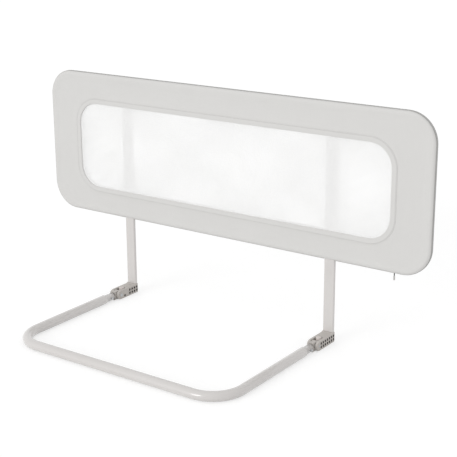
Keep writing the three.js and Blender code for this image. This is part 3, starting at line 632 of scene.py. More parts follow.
# %% Shape the sleeve and the knuckle
FOOT_FLUSH, CHEEK_THICKNESS, SLIM_GAP = 0.5, 7.0, 0.3
FOOT_HALF = POST_WIDTH / 2 + FOOT_FLUSH
SLOT_HALF = FOOT_HALF - CHEEK_THICKNESS
HUB_RADIUS, HUB_SIDE_GAP, HUB_RISE = 6.0, 0.4, 1.0
HUB_HALF = SLOT_HALF - HUB_SIDE_GAP
KNUCKLE_RADIUS, KNUCKLE_HALF = 11.6, HUB_HALF - HUB_RISE
SLEEVE_RADIUS, SLEEVE_LENGTH, SLEEVE_TAPER = 14.0, 32.0, 6.0
SLEEVE_RIM, SLEEVE_RIM_LENGTH = 14.8, 3.5
SLEEVE_BORE = NECK_RADIUS + SLIM_GAP
TOOTH_BOTTOM, TOOTH_HEIGHT, TOOTH_LENGTH, TOOTH_HALF = 17.4, 5.0, 2.6, 3.8
PIN_RADIUS = 3.0
RIVET_HEAD, RIVET_RISE, RIVET_SHANK = 3.4, 1.1, 2.0
sleeve_front = box_mm("base_socket_right")[0][1]
sleeve_back = sleeve_front + SLEEVE_LENGTH
rivet_y = (sleeve_front + SLEEVE_RIM_LENGTH + sleeve_back - SLEEVE_TAPER) / 2


def blank(outline, low, high):
    """An outline carried along X with plain ends, for cutting."""
    return prism(outline, low, high, 0.0, edge_steps=0)


def side_box(y0, y1, z0, z1, radius):
    """An upright rounded rectangle in the plane of Y and Z, by its sides."""
    return rectangle(y1 - y0, z1 - z0, radius, (y0 + y1) / 2, (z0 + z1) / 2)


def sleeve():
    """The sleeve's profile runs from its back along the outside to the rim and back up the bore."""
    front, rim_end, cone = sleeve_front, sleeve_front + SLEEVE_RIM_LENGTH, sleeve_back - SLEEVE_TAPER
    profile = [(sleeve_back, 10.9), (sleeve_back - 0.3, 11.3), (sleeve_back - 0.8, 11.6), (cone + 1, 13.6),
               (cone, 13.9), (cone - 1, SLEEVE_RADIUS), (rim_end + 0.5, SLEEVE_RADIUS),
               (rim_end + 0.1, SLEEVE_RADIUS + 0.15), (rim_end - 0.3, SLEEVE_RIM - 0.1),
               (rim_end - 0.7, SLEEVE_RIM), (front + 0.7, SLEEVE_RIM), (front + 0.2, SLEEVE_RIM - 0.2),
               (front, SLEEVE_RIM - 0.7), (front, SLEEVE_BORE + 0.5), (front + 0.5, SLEEVE_BORE),
               (front + NECK_LENGTH + SLIM_GAP, SLEEVE_BORE)]
    return turned_part(profile, (POST_X, 0, TUBE_RADIUS), "y", 64)


def knuckle():
    """A flat block whose far end is a half circle about the pivot."""
    r, y, z = KNUCKLE_RADIUS, PIVOT[1], PIVOT[2]
    start = sleeve_back - SLEEVE_TAPER
    corners = [(start, z - r), (y + r, z - r), (y + r, z + r), (start, z + r)]
    outline = rounded_outline(corners, [0.5, r - 0.02, r - 0.02, 0.5], 6.0)
    return prism(outline, POST_X - KNUCKLE_HALF, POST_X + KNUCKLE_HALF, 0.6)


print("sleeves from y", round(sleeve_front), "to", round(sleeve_back), "mm, rivets at", round(rivet_y), "mm")

# %% Make the sleeves and their rivets
def socket_shell():
    """Sleeve, knuckle and hub in one, less the floor, the tooth's notch and the pin's hole."""
    y = PIVOT[1] + KNUCKLE_RADIUS
    notch = side_box(y - TOOTH_LENGTH, y + 4, TOOTH_BOTTOM - SLIM_GAP,
                     TOOTH_BOTTOM + TOOTH_HEIGHT + SLIM_GAP, 0.4)
    pin_hole = [(POST_X - 20, PIN_RADIUS + SLIM_GAP), (POST_X + 20, PIN_RADIUS + SLIM_GAP)]
    floor = side_box(sleeve_front - 5, y + 5, -10, 0, 0.2)
    hub = turned_part([(POST_X - HUB_HALF, HUB_RADIUS), (POST_X + HUB_HALF, HUB_RADIUS)], PIVOT, "x", 40)
    body = carved(sleeve(), [knuckle(), hub], "UNION")
    return carved(body, [blank(floor, POST_X - 30, POST_X + 30), blank(notch, POST_X - 10, POST_X + 10),
                         turned_part(pin_hole, PIVOT, "x", 32)])


def rivet_shell():
    """A shank through the sleeve between two domed heads."""
    reach = SLEEVE_RADIUS + 0.05
    inner, outer = (dome(POST_X + way * reach, RIVET_HEAD, RIVET_RISE, way) for way in (-1, 1))
    shank = [(POST_X - reach, RIVET_SHANK), (POST_X + reach, RIVET_SHANK)]
    return turned_part(inner[::-1] + shank + outer, (0, rivet_y, TUBE_RADIUS), "x", 28)


def pair(name, shell, material, body, slot, node, **more):
    """A right piece and its mirrored left twin, each in place of its own node. SIDE in the body's
    name stands for right or left."""
    made = []
    for side, own in (("right", shell), ("left", mirrored(shell))):
        made.append(piece(name + "_" + side, own, material, body.replace("SIDE", side), slot, **more))
        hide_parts(node + "_" + side)
    return made


sockets = pair("base_socket_moulded", socket_shell(), foot_plastic, "base", "hinge_plastic", "base_socket")
pair("socket_rivet_domed", rivet_shell(), zinc, "base", "steel", "socket_rivet")
print("sockets:", len(sockets[0].data.polygons), "faces each")

# %% [markdown]
# ## The hinge feet
# The foot is the part that takes the most skill: a moulded block with two cheeks round the
# knuckle, a well for the thumb button, a collar round the post and a lattice of slots in its
# sides, which save plastic and keep the walls even. It is carved as its mould is, by tools that
# flare a little at their mouths, so that each edge catches the light.

# %% Lay out the foot and its slots
FOOT_TOP, FOOT_BACK = 25.0, post_high[1] + FOOT_FLUSH
CHEEK_RADIUS = TUBE_RADIUS
COLLAR_TOP, COLLAR_FRONT, COLLAR_SLOPE = post_low[2] - SLIM_GAP, post_low[1] - 2.0, 4.0
SPIGOT_HEIGHT, SPIGOT_INSET = 34.0, 1.5
WELL_FLOOR, WELL_RADIUS, WELL_GAP = 6.0, 5.6, 1.6
KNUCKLE_GAP, BUTTON_LENGTH = 0.9, 14.0
BOSS_RADIUS, BOSS_STAND = 8.0, 1.2
PIN_HOLE, PIN_MOUTH = PIN_RADIUS + SLIM_GAP, 0.4
SLOT_WIDTH, SLOT_HEIGHT, SLOT_DEPTH, SLOT_PITCH, SLOT_ROW_PITCH = 5.8, 6.6, 5.5, 10.2, 9.4
OUTER_SLOTS, INNER_SLOTS, SLOT_MARGIN = 7, 4, 1.8
MOUTH_FLARE = 0.4
SCREW_SETBACK, SCREW_HEIGHT, SCREW_HEAD, SCREW_SEAT = 43.0, 6.5, 3.2, 3.5
SCREW_SHANK, SCREW_HOLE = 1.6, 1.9
screw_at = (0, FRONT_Y - SCREW_SETBACK, SCREW_HEIGHT)
well_front = PIVOT[1] + CHEEK_RADIUS + KNUCKLE_GAP
well_back = well_front + BUTTON_LENGTH + WELL_GAP


def foot_outline():
    """The side view: round at the pivot, flat below, with a sloped collar at the back."""
    y, r = PIVOT[1], CHEEK_RADIUS
    corners = [(y - r, 0), (FOOT_BACK, 0), (FOOT_BACK, COLLAR_TOP), (COLLAR_FRONT, COLLAR_TOP),
               (COLLAR_FRONT - COLLAR_SLOPE, FOOT_TOP), (y - r, FOOT_TOP)]
    return rounded_outline(corners, [r - 0.02, 1.6, 1.4, 1.2, 3.0, r - 0.02], 6.0)


def flared(outline, inner, mouth, axis, flare=MOUTH_FLARE):
    """A cutting tool: the outline runs straight from its inner end and opens by flare at the mouth."""
    way = math.copysign(1.0, mouth - inner)
    along = (inner, mouth - way * flare, mouth, mouth + way * 3)
    return skin(outline_rings(outline, along, (0, 0, flare, flare), axis))


def slot_tools():
    """Two rows of slots in each side, in columns from the back forward."""
    tools = []
    for side, columns in ((1, OUTER_SLOTS), (-1, INNER_SLOTS)):
        for column in range(columns):
            y = FOOT_BACK - SLOT_MARGIN - SLOT_WIDTH / 2 - column * SLOT_PITCH
            for row in (-0.5, 0.5):
                outline = rectangle(SLOT_WIDTH, SLOT_HEIGHT, 0.6, y, PIVOT[2] + row * SLOT_ROW_PITCH, 30.0)
                face = POST_X + side * FOOT_HALF
                tools.append(flared(outline, face - side * SLOT_DEPTH, face, "x"))
    return together(*tools)


print("slots in each foot:", 2 * (OUTER_SLOTS + INNER_SLOTS))

# %% Mould the feet
def foot_shell():
    """The block, boss and spigot, less the knuckle slot, the button well and the lattice."""
    inner, outer = POST_X - FOOT_HALF, POST_X + FOOT_HALF
    body = prism(foot_outline(), inner, outer, 1.3, "x", 4)
    boss_end = inner - BOSS_STAND
    boss = turned_part([(inner + 1, BOSS_RADIUS), (boss_end + 0.5, BOSS_RADIUS),
                        (boss_end + 0.1, BOSS_RADIUS - 0.2), (boss_end, BOSS_RADIUS - 0.6)],
                       PIVOT, "x", 48)
    knuckle_side = side_box(PIVOT[1] - CHEEK_RADIUS - 4, well_front, -3, COLLAR_TOP + 4, 0.3)
    knuckle_slot = blank(knuckle_side, POST_X - SLOT_HALF, POST_X + SLOT_HALF)
    well_start = well_front - 8
    well_middle = (well_back + well_start) / 2
    well_plan = rectangle(2 * SLOT_HALF, well_back - well_start, WELL_RADIUS, POST_X, well_middle)
    well = flared(well_plan, WELL_FLOOR, FOOT_TOP, "z", 0.5)
    spigot_plan = rectangle(POST_WIDTH - 2 * SPIGOT_INSET, POST_DEPTH - 2 * SPIGOT_INSET, 1.5, POST_X, MID_Y)
    spigot = prism(spigot_plan, COLLAR_TOP - 2, COLLAR_TOP + SPIGOT_HEIGHT, 0.6, "z")
    mouth = PIN_HOLE + PIN_MOUTH
    pin_hole = turned_part([(inner - 5, PIN_HOLE), (outer - PIN_MOUTH, PIN_HOLE), (outer, mouth),
                            (outer + 2, mouth)], PIVOT, "x", 40)
    seat_mouth = SCREW_SEAT + 0.4
    screw_seat = turned_part([(inner - 2, seat_mouth), (inner, seat_mouth), (inner + 0.4, SCREW_SEAT),
                              (inner + 1.9, SCREW_SEAT)], screw_at, "x", 32)
    screw_side = [(inner + 1, SCREW_HOLE), (POST_X - SLOT_HALF - 1.2, SCREW_HOLE)]
    screw_hole = turned_part(screw_side, screw_at, "x", 24)
    moulded_block = carved(body, [boss, spigot], "UNION")
    return carved(moulded_block, [knuckle_slot, well, pin_hole, screw_seat, screw_hole, slot_tools()])


def slot_painted_shade(f):
    """Mask of a painted shade: 1 inside the slots, between two depths under a side of the foot, within the
    lattice.
    """
    x, y, z = f.split(f.place())
    under = FOOT_HALF * MM - (x.absolute() - POST_X * MM).absolute()
    lattice_half = ((OUTER_SLOTS - 1) * SLOT_PITCH + SLOT_WIDTH) / 2
    middle = FOOT_BACK - SLOT_MARGIN - lattice_half
    across = (z - float(PIVOT[2]) * MM).absolute()
    along = (y - float(middle) * MM).absolute()
    rows_half = (SLOT_ROW_PITCH + SLOT_HEIGHT) / 2 + 0.3
    deep = f.step(under, 0.3 * MM, 1.6 * MM) * f.step(under, (SLOT_DEPTH + 0.8) * MM, (SLOT_DEPTH + 0.4) * MM)
    return (deep * f.step(across, (rows_half + 0.2) * MM, rows_half * MM)
            * f.step(along, (lattice_half + 0.6) * MM, (lattice_half + 0.3) * MM))


# The slots are painted dark inside: a painted shade in place of their shadow.
slot_shade_painted_plastic = moulded("slot_shade_painted_plastic", *FOOT_PLASTIC, painted_shade=slot_painted_shade)
feet = pair("hinge_foot_moulded", foot_shell(), slot_shade_painted_plastic, "uprights", "hinge_plastic", "hinge_foot",
            sharp=32.0)
print("feet:", len(feet[0].data.polygons), "faces each")

# %% [markdown]
# ## Pins, screws and buttons
# The pin has a domed head on the inner boss and a flush end outside. The clamp screw sits in a
# recess and has a cross cut in its head. The thumb button is a crowned cap with two shallow
# grip grooves, and its tooth faces the notch of the knuckle.

# %% Make the pins and screws
PIN_HEAD, PIN_RISE = 5.0, 1.6


def pin_shell():
    """A domed head on the inner boss and a shank with a broken end."""
    inner, outer = POST_X - FOOT_HALF - BOSS_STAND, POST_X + FOOT_HALF
    head = dome(inner - 0.05, PIN_HEAD, PIN_RISE, -1, 7)[::-1]
    shank = [(inner, PIN_RADIUS), (outer - PIN_MOUTH, PIN_RADIUS), (outer, PIN_RADIUS - PIN_MOUTH)]
    return turned_part(head + shank, PIVOT, "x", 40)


def screw_shell():
    """A pan head with a crossed recess: two crossed bars are cut out of its crown."""
    face = POST_X - FOOT_HALF
    head = dome(face + 1.5, SCREW_HEAD, 1.4, -1)[::-1]
    shank = [(face + 1.5, SCREW_SHANK), (POST_X - SLOT_HALF - 1.5, SCREW_SHANK)]
    plans = [rectangle(*size, 0.2, *screw_at[1:]) for size in ((3.6, 0.8), (0.8, 3.6))]
    bars = [blank(plan, face - 1, face + 1) for plan in plans]
    return carved(turned_part(head + shank, screw_at, "x", 32), bars)


pins = pair("hinge_pin_domed", pin_shell(), zinc, "uprights", "steel", "hinge_pin")
pair("clamp_screw_crossed", screw_shell(), dark_plate, "uprights", "dark_steel", "clamp_screw")
print("pins:", len(pins[0].data.polygons), "faces each")

# %% Make the thumb buttons
BUTTON_TOP, BUTTON_CORNER, BUTTON_EDGE, BUTTON_CROWN = 27.4, 5.0, 1.6, 0.6
CROWN_START, CROWN_END, CROWN_RINGS = 2.2, 4.9, 8
GROOVE_DEPTH, GROOVES_FROM_FRONT, GROOVES_FROM_BACK = 0.35, 3.5, 2.5


def button_shell():
    """Rings of a rounded plan: straight walls, a quarter round, then a low dome. At a share s of
    the way in, the dome rises by 1 - (1 - s)^2, less a raised cosine across its length for the
    two grooves."""
    front, back = well_front + SLIM_GAP, well_back - WELL_GAP
    half, bottom, shoulder = SLOT_HALF - WELL_GAP, TOOTH_BOTTOM, BUTTON_TOP - BUTTON_CROWN
    plan = rectangle(2 * half, back - front, BUTTON_CORNER, POST_X, (front + back) / 2, 7.5)
    angle = np.linspace(0, math.pi / 2, 7)
    crown_insets = np.linspace(CROWN_START, CROWN_END, CROWN_RINGS)
    insets = np.concatenate([[0.5, 0.0], BUTTON_EDGE * (1 - np.cos(angle)), crown_insets])
    rounding = shoulder - BUTTON_EDGE + BUTTON_EDGE * np.sin(angle)
    heights = np.concatenate([[bottom, bottom + 0.5], rounding, np.full(CROWN_RINGS, shoulder)])
    share = np.clip((insets - BUTTON_EDGE) / (CROWN_END - BUTTON_EDGE), 0, 1)
    rings = outline_rings(plan, heights, -insets, "z")
    y, first, last = rings[..., 1], front + GROOVES_FROM_FRONT, back - GROOVES_FROM_BACK
    waves = 0.5 - 0.5 * np.cos((y - first) / (last - first) * 4 * math.pi)
    inside = (y > first) & (y < last)
    crown = BUTTON_CROWN * (1 - (1 - share) ** 2)[:, None]
    rings[..., 2] += crown - GROOVE_DEPTH * waves * inside * np.minimum(1, 3 * share)[:, None]
    tooth_front = PIVOT[1] + KNUCKLE_RADIUS + SLIM_GAP
    tooth = side_box(tooth_front, front + 2, TOOTH_BOTTOM, TOOTH_BOTTOM + TOOTH_HEIGHT, 0.5)
    return together(skin(rings), prism(tooth, POST_X - TOOTH_HALF, POST_X + TOOTH_HALF, 0.4))


buttons = pair("lock_button_crowned", button_shell(), button_plastic, "release_SIDE", "button_plastic",
               "lock_button")
print("buttons:", len(buttons[0].data.polygons), "faces each")

# %% [markdown]
# ## The posts
# Each post is a flat oval-edged tube with a row of holes in its rear wall, one for each height
# that the panel can be set to.

# %% Draw the posts
HOLE_RADIUS, HOLE_MOUTH, HOLE_PITCH, HOLE_COUNT, HOLES_BELOW = 3.0, 0.4, 20.0, 14, 9
POST_WALL, POST_EDGE, LATCH_SETBACK = 1.2, 3.0, 5.5
lowest_hole = box_mm("latch_spring_right")[1][2] - LATCH_SETBACK - HOLES_BELOW * HOLE_PITCH


def post_shell():
    """An oval-edged tube, looped from its outside through its bore, less the row of holes."""
    low, high = post_low[2], post_high[2]
    plan = rectangle(POST_WIDTH, POST_DEPTH, POST_EDGE, POST_X, MID_Y, 10.0)
    rings = outline_rings(plan, (low, high, high, low), (0, 0, -POST_WALL, -POST_WALL), "z")
    back, wide = post_high[1], HOLE_RADIUS + HOLE_MOUTH
    drill = [(MID_Y, HOLE_RADIUS), (back - HOLE_MOUTH, HOLE_RADIUS), (back, wide), (back + 2, wide)]
    heights = lowest_hole + np.arange(HOLE_COUNT) * HOLE_PITCH
    holes = [turned_part(drill, (POST_X, 0, height), "y", 24) for height in heights]
    return carved(skin(rings, loop_rings=True), [together(*holes)])


posts = pair("lower_post_painted", post_shell(), paint, "uprights", "painted_tube", "lower_post")
print("posts:", len(posts[0].data.polygons), "faces each, holes from z", round(lowest_hole), "mm")

# %% [markdown]
# ## The cover
# The cover is two sewn halves, pulled tight over the tube frame. Each half is one surface: rings
# run from the window to the edge of the panel and then round the frame's tube to the seam. The
# cloth lies on the tube and on the binding, and dips a little between them. Slow waves keep it
# from looking machined, and small puckers gather it round the corners.

# %% Ring helpers for the panel
CORNER_STEPS, LONG_STEPS, SHORT_STEPS, WAVES = 28, 150, 30, 9
SLIT_HALF = POST_WIDTH / 2 + 1.5
SLIT_DEPTH = RIM_RADIUS - POST_DEPTH / 2 - 1.5


def smooth(value, low, high):
    """0 below low, 1 above high, 3t^2 - 2t^3 between."""
    t = np.clip((np.asarray(value, float) - low) / (high - low), 0, 1)
    return t * t * (3 - 2 * t)


def run_along(line):
    """How far each point of a line of points is from its start."""
    return np.concatenate([[0], np.cumsum(np.hypot(*np.diff(line, axis=0).T))])


def upright(plane, y):
    """Places of the panel's upright plane, which are given as x and z, at a depth y."""
    return along_axis("y", plane[..., 0], plane[..., 1], y)


def under_face(front, depth):
    """Y at a depth below the panel's front or rear face."""
    return FRONT_Y + depth if front else BACK_Y - depth


def straight_shares(panel_half):
    """Shares along a long side of the panel, with a stop at each edge of both post slits."""
    edges = np.array([-POST_X - SLIT_HALF, -POST_X + SLIT_HALF, POST_X - SLIT_HALF, POST_X + SLIT_HALF])
    stops = np.concatenate([[0], (edges + panel_half) / (2 * panel_half), [1]])
    runs = [np.linspace(a, b, max(2, round((b - a) * LONG_STEPS)) + 1)[:-1] for a, b in zip(stops, stops[1:])]
    return np.append(np.concatenate(runs), 1.0)


PANEL_STRAIGHT = PANEL_LENGTH / 2 - PANEL_RADIUS
long_shares = straight_shares(PANEL_STRAIGHT)
short_shares = np.linspace(0, 1, SHORT_STEPS + 1)


def panel_ring(length, height, radius, mid_z):
    """Places and outward normals (x, z) round a rounded rectangle, counter-clockwise from the right:
    a quarter circle, then the straight side after it. Equal counts for any size."""
    w, h = length / 2 - radius, height / 2 - radius
    centres = [(w, h), (-w, h), (-w, -h), (w, -h)]
    points, normals = [], []
    for k, centre in enumerate(centres):
        angle = (k + np.linspace(0, 1, CORNER_STEPS + 1)) * math.pi / 2
        out = np.stack([np.cos(angle), np.sin(angle)], -1)
        arc = np.array(centre) + radius * out
        following = np.array(centres[(k + 1) % 4]) + radius * out[-1]
        shares = (long_shares if k % 2 == 0 else short_shares)[1:-1, None]
        points += [arc, arc[-1] + (following - arc[-1]) * shares]
        normals += [out, np.repeat(out[-1:], len(shares), 0)]
    return np.concatenate(points) + np.array([0, mid_z]), np.concatenate(normals)


def gentle(x, z, seed, reach=(30.0, 120.0)):
    """Slow waves over the cloth: a sum of sines with random directions, lengths and phases."""
    random = np.random.default_rng(seed)
    total = np.zeros(np.broadcast(x, z).shape)
    for length in np.linspace(*reach, WAVES):
        angle, phase = random.uniform(0, math.pi), random.uniform(0, 2 * math.pi)
        run = x * math.cos(angle) + z * math.sin(angle)
        total += length / reach[1] * np.sin(2 * math.pi * run / length + phase)
    return total / math.sqrt(WAVES)


window_points = panel_ring(WINDOW_LENGTH, WINDOW_HEIGHT, WINDOW_RADIUS, WINDOW_MID_Z)[0]
edge_points, edge_normals = panel_ring(PANEL_LENGTH - 2 * RIM_RADIUS, PANEL_HEIGHT - 2 * RIM_RADIUS,
                                       PANEL_RADIUS - RIM_RADIUS, PANEL_MID_Z)
COLUMNS = len(edge_points)
edge_run = run_along(edge_points)
print("each ring of the cover has", COLUMNS, "points")

# %% Lay the cloth over the frame
FACE_STEPS = 44
CLOTH_DIP, CLOTH_WAVE = 1.0, 0.32
BINDING_HOLD, TUBE_HOLD, PUCKER_REACH = (15, 38), (1, 20), (34, 2)
ROLL_ANGLES, GATHER_ANGLES = np.radians([76, 90]), np.radians([50, 85])
PUCKER_DEPTH, PUCKER_LENGTH = 0.18, 11.0
SEAM_ROLL, SEAM_PUCKER, SEAM_PUCKER_LENGTH = 0.8, 0.12, 5.3
SEAM_DEPTH = RIM_RADIUS - SEAM_GAP / 2
slit_angle = math.acos(1 - SLIT_DEPTH / SEAM_DEPTH)
rim_angles = np.concatenate([np.linspace(0, slit_angle, 9), np.linspace(slit_angle, math.pi / 2, 10)[1:]])
SLIT_ROW = FACE_STEPS + 8


def corner_weight():
    """1 in the middle of each corner arc, 0 on the straight sides."""
    both = np.abs(edge_normals[:, 0] * edge_normals[:, 1]) * 2
    return smooth(both, 0.1, 0.8)


def cover_rings(seed, thickness):
    """Rings of x, depth below the face plane and z, and the same places laid flat.

    On the face, at a share t from the window to the tube, the place is the straight mix of the
    two rings, and the depth is the dip between binding and tube plus the slow waves. On the rim,
    at an angle a, the cloth is (R - thickness) * sin a outside the tube's line and falls by
    D * (1 - cos a). The last part rolls inwards to the seam."""
    t = np.linspace(0, 1, FACE_STEPS + 1)[:, None]
    spread = edge_points - window_points
    width = np.hypot(*spread.T)
    plane = window_points + t[..., None] * spread
    held = smooth(t * width, *BINDING_HOLD) * smooth((1 - t) * width, *TUBE_HOLD)
    pucker = PUCKER_DEPTH * np.sin(2 * math.pi * edge_run / PUCKER_LENGTH) * corner_weight()
    near_edge = smooth((1 - t) * width, *PUCKER_REACH)
    wave = gentle(plane[..., 0], plane[..., 1], seed)
    depth = CLOTH_DIP * held + CLOTH_WAVE * wave * held + pucker * near_edge

    a = rim_angles[1:, None]
    radius = RIM_RADIUS - thickness
    rolled = SEAM_ROLL * smooth(a, *ROLL_ANGLES)
    seam_wave = np.sin(2 * math.pi * edge_run / SEAM_PUCKER_LENGTH)
    gathered = SEAM_PUCKER * seam_wave * smooth(a, *GATHER_ANGLES)
    outward = radius * np.sin(a) - rolled - gathered
    fall = thickness + (SEAM_DEPTH - thickness) * (1 - np.cos(a)) + pucker * np.cos(a) ** 2
    rim = upright(edge_points + edge_normals * outward[..., None], fall)
    flat_rim = edge_points + edge_normals * (RIM_RADIUS * a)[..., None]
    return np.concatenate([upright(plane, depth + thickness), rim]), np.concatenate([plane, flat_rim])


print("rows of the cover:", FACE_STEPS, "on the face and", len(rim_angles), "round the rim")

# %% Sew the cover
def slit_columns():
    """For each post, the first and last column of the ring that lie within its slit."""
    found = []
    bottom = edge_normals[:, 1] < -0.999
    for side in (-1, 1):
        inside = np.flatnonzero(bottom & (np.abs(edge_points[:, 0] - side * POST_X) < SLIT_HALF + 0.01))
        found.append((inside[0], inside[-1]))
    return found


def cover_shell(front, seed):
    """Outer and inner surface as one looped skin, less the two slits that the posts pass through,
    whose edges get a wall between the surfaces."""
    outer, flat_outer = cover_rings(seed, 0.0)
    inner, flat_inner = cover_rings(seed, COVER_THICKNESS)
    rows = len(outer)
    rings = np.concatenate([outer, inner[::-1]])
    rings[..., 1] = under_face(front, rings[..., 1])
    faces = np.array(grid_faces(2 * rows, COLUMNS, True, True)).reshape(2 * rows, COLUMNS, 4)
    keep = np.ones(faces.shape[:2], bool)
    walls = []

    def corner(row, column, deep):
        """The number of a point on the outer surface or, if deep, on the inner one."""
        return ((2 * rows - 1 - row) if deep else row) * COLUMNS + column

    for first, last in slit_columns():
        keep[SLIT_ROW:2 * rows - 1 - SLIT_ROW, first:last] = False
        for column, turn in ((first, 1), (last, -1)):
            for row in range(SLIT_ROW, rows - 1):
                wall = [corner(row, column, False), corner(row + 1, column, False),
                        corner(row + 1, column, True), corner(row, column, True)]
                walls.append(wall[::-turn])
        for column in range(first, last):
            walls.append([corner(SLIT_ROW, column + 1, False), corner(SLIT_ROW, column, False),
                          corner(SLIT_ROW, column, True), corner(SLIT_ROW, column + 1, True)])
    points, shell_faces = closed(rings, faces[keep].tolist() + walls)
    return (points, shell_faces), np.concatenate([flat_outer, flat_inner[::-1]]).reshape(-1, 2)


def tidy_normals(made):
    """Turns all faces of a closed piece the same way, outwards."""
    work = bmesh.new()
    work.from_mesh(made.data)
    loose = [v for v in work.verts if not v.link_faces]
    bmesh.ops.delete(work, geom=loose, context="VERTS")
    bmesh.ops.recalc_face_normals(work, faces=work.faces)
    work.to_mesh(made.data)
    work.free()


def area_of(made):
    """The area of a piece's faces in square metres."""
    return sum(face.area for face in made.data.polygons)


for name, front, seed in (("front", True, 11), ("back", False, 12)):
    shell, flat = cover_shell(front, seed)
    cover = piece("cover_" + name + "_sewn", shell, cover_cloth, "panel", "cover_fabric", sharp=50.0,
                  cloth=flat)
    tidy_normals(cover)
    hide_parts("cover_" + name)

# %% [markdown]
# ## The window's binding and its stitches
# A tape is sewn over the cut edge of the window. Its section is carried round the window: flat
# on the cover, rolled over the edge and down behind it. Two rows of lockstitches hold it, each
# stitch a small rounded bead, and the tape puckers a little with every stitch.

# %% Work out the window's outline and the stitches
BINDING_RISE, BINDING_TURNED = 1.1, 3.0
STITCH_PITCH, STITCH_LENGTH, STITCH_ROWS = 3.6, 2.5, (1.1, 11.2)
FURROW_DEPTH, BINDING_PUCKER, BINDING_WAVER = 0.22, 0.07, 0.12
RING_STEP, BEAD_SIDES = 2.4, 6


def even_ring(grow, step):
    """The window's outline, grown outwards, at even steps: place, outward normal and run."""
    points, normals = rectangle(WINDOW_LENGTH, WINDOW_HEIGHT, WINDOW_RADIUS, 0, WINDOW_MID_Z, 1.5)
    points, normals = np.vstack([points, points[:1]]), np.vstack([normals, normals[:1]])
    points = points + normals * grow
    run = run_along(points)
    at = np.linspace(0, run[-1], round(run[-1] / step) + 1)[:-1]
    place = np.stack([np.interp(at, run, points[:, k]) for k in (0, 1)], -1)
    out = np.stack([np.interp(at, run, normals[:, k]) for k in (0, 1)], -1)
    return place, out / np.hypot(*out.T)[:, None], at


def stitch_height(across):
    """The tape's rise over its width: full, with a furrow under each row of stitches."""
    furrow = sum(np.exp(-((across - row) / 0.8) ** 2) for row in STITCH_ROWS)
    return BINDING_RISE - FURROW_DEPTH * furrow


def bead(length, width, height):
    """One stitch: four rings of a flat oval, narrow at both ends."""
    along = length * np.array([[-0.5], [-0.28], [0.28], [0.5]])
    size = np.array([[0.35], [1.0], [1.0], [0.35]]) / 2
    angle = full_turn(BEAD_SIDES)
    return skin(along_axis("x", size * width * np.cos(angle), size * height * np.sin(angle), along))


def strewn(shell, places, along, across, up):
    """Copies of a small shell, one at each place, turned to three directions. A direction is given
    once for all places, or once for each."""
    points, faces = shell
    along, across, up = (np.broadcast_to(way, places.shape)[:, None] for way in (along, across, up))
    spread = places[:, None] + points[:, :1] * along + points[:, 1:2] * across + points[:, 2:] * up
    numbers = np.arange(len(places)) * len(points)
    every = [[start + k for k in face] for start in numbers.tolist() for face in faces]
    points = spread.reshape(-1, 3)
    return (points, every) if volume_of(points, every) > 0 else (points, [face[::-1] for face in every])


def sewn(places, across, up, width, height):
    """A row of stitches, each a bead that lies at right angles to both directions."""
    return strewn(bead(STITCH_LENGTH, width, height), places, np.cross(across, up), across, up)


print("stitches every", STITCH_PITCH, "mm in rows", STITCH_ROWS, "mm from the edge of the window")

# %% Sew the binding
def flat_map(across, along):
    """The flat places of a cloth from their two coordinates, a row for each point."""
    return np.stack(np.broadcast_arrays(across, along), -1).reshape(-1, 2)


def binding_shell(front):
    """The section, as places across the tape and rises over the cloth, counter-clockwise."""
    over = -BINDING_OVERHANG
    wide = BINDING_WIDTH + over
    top = np.linspace(over + 0.7, wide - 0.5, 22)
    section = [(over, -1.8), (over, 0.5), (over + 0.2, 0.9)] + list(zip(top, stitch_height(top)))
    section += [(wide - 0.12, 0.75), (wide, 0.4), (wide, 0.02), (0.3, 0.02), (-0.05, -0.2), (-0.05, -1.8)]
    section = np.array(section)
    place, out, run = even_ring(0, RING_STEP)
    pucker = BINDING_PUCKER * np.sin(2 * math.pi * run / STITCH_PITCH)
    edge = BINDING_WAVER * np.sin(2 * math.pi * run / (1.5 * STITCH_PITCH)) * (section[:, :1] > wide - 1)
    across = section[:, :1] + edge
    rise = section[:, 1:] + pucker * (section[:, 1:] > 0.5)
    points = upright(place + out * across[..., None], under_face(front, -rise))
    faces = grid_faces(len(section), len(place), True, True)
    return closed(points, faces), flat_map(run, across)


def stitch_shell(front):
    """Both rows of lockstitches, each bead lying along the tape a little above its furrow."""
    up = (0.0, -1.0 if front else 1.0, 0.0)
    rows = []
    for row in STITCH_ROWS:
        place, out = even_ring(row, STITCH_PITCH)[:2]
        places = upright(place, under_face(front, -stitch_height(row) - 0.12))
        rows.append(sewn(places, upright(out, 0.0), up, 0.75, 0.55))
    return together(*rows)


middle_ring = even_ring(BINDING_WIDTH / 2, RING_STEP)[0]
for name, front in (("front", True), ("back", False)):
    stitches = piece("window_stitches_" + name, stitch_shell(front), thread, "panel", "binding", sharp=0)
    shell, flat = binding_shell(front)
    binding = piece("window_binding_" + name + "_sewn", shell, binding_cloth, "panel", "binding", sharp=60.0,
                    cloth=flat)
    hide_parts("window_binding_" + name)
    print(binding.name, "with", len(stitches.data.polygons) // 20, "stitches")

# %% [markdown]
# ## The tape round the edge
# A grey tape covers the seam between the halves. It is one section, a low double ridge, carried
# round the panel's edge in two lengths that stop at the posts' slits. A row of dark stitches in a furrow
# darkened by painted shade runs along each of its sides, the two fine lines that are seen on the panel's end.

# %% Sew the edge tape
EDGE_SECTION = np.array([(7.9, -4.3), (8.45, -4.75), (9.0, -4.35), (9.2, -3.2), (9.25, -1.5), (9.05, 0.0),
                         (9.25, 1.5), (9.2, 3.2), (9.0, 4.35), (8.45, 4.75), (7.9, 4.3), (8.6, 2.2),
                         (8.75, 0.0), (8.6, -2.2)])
EDGE_STITCH_ROW, EDGE_STITCH_OUT = 3.1, 9.3


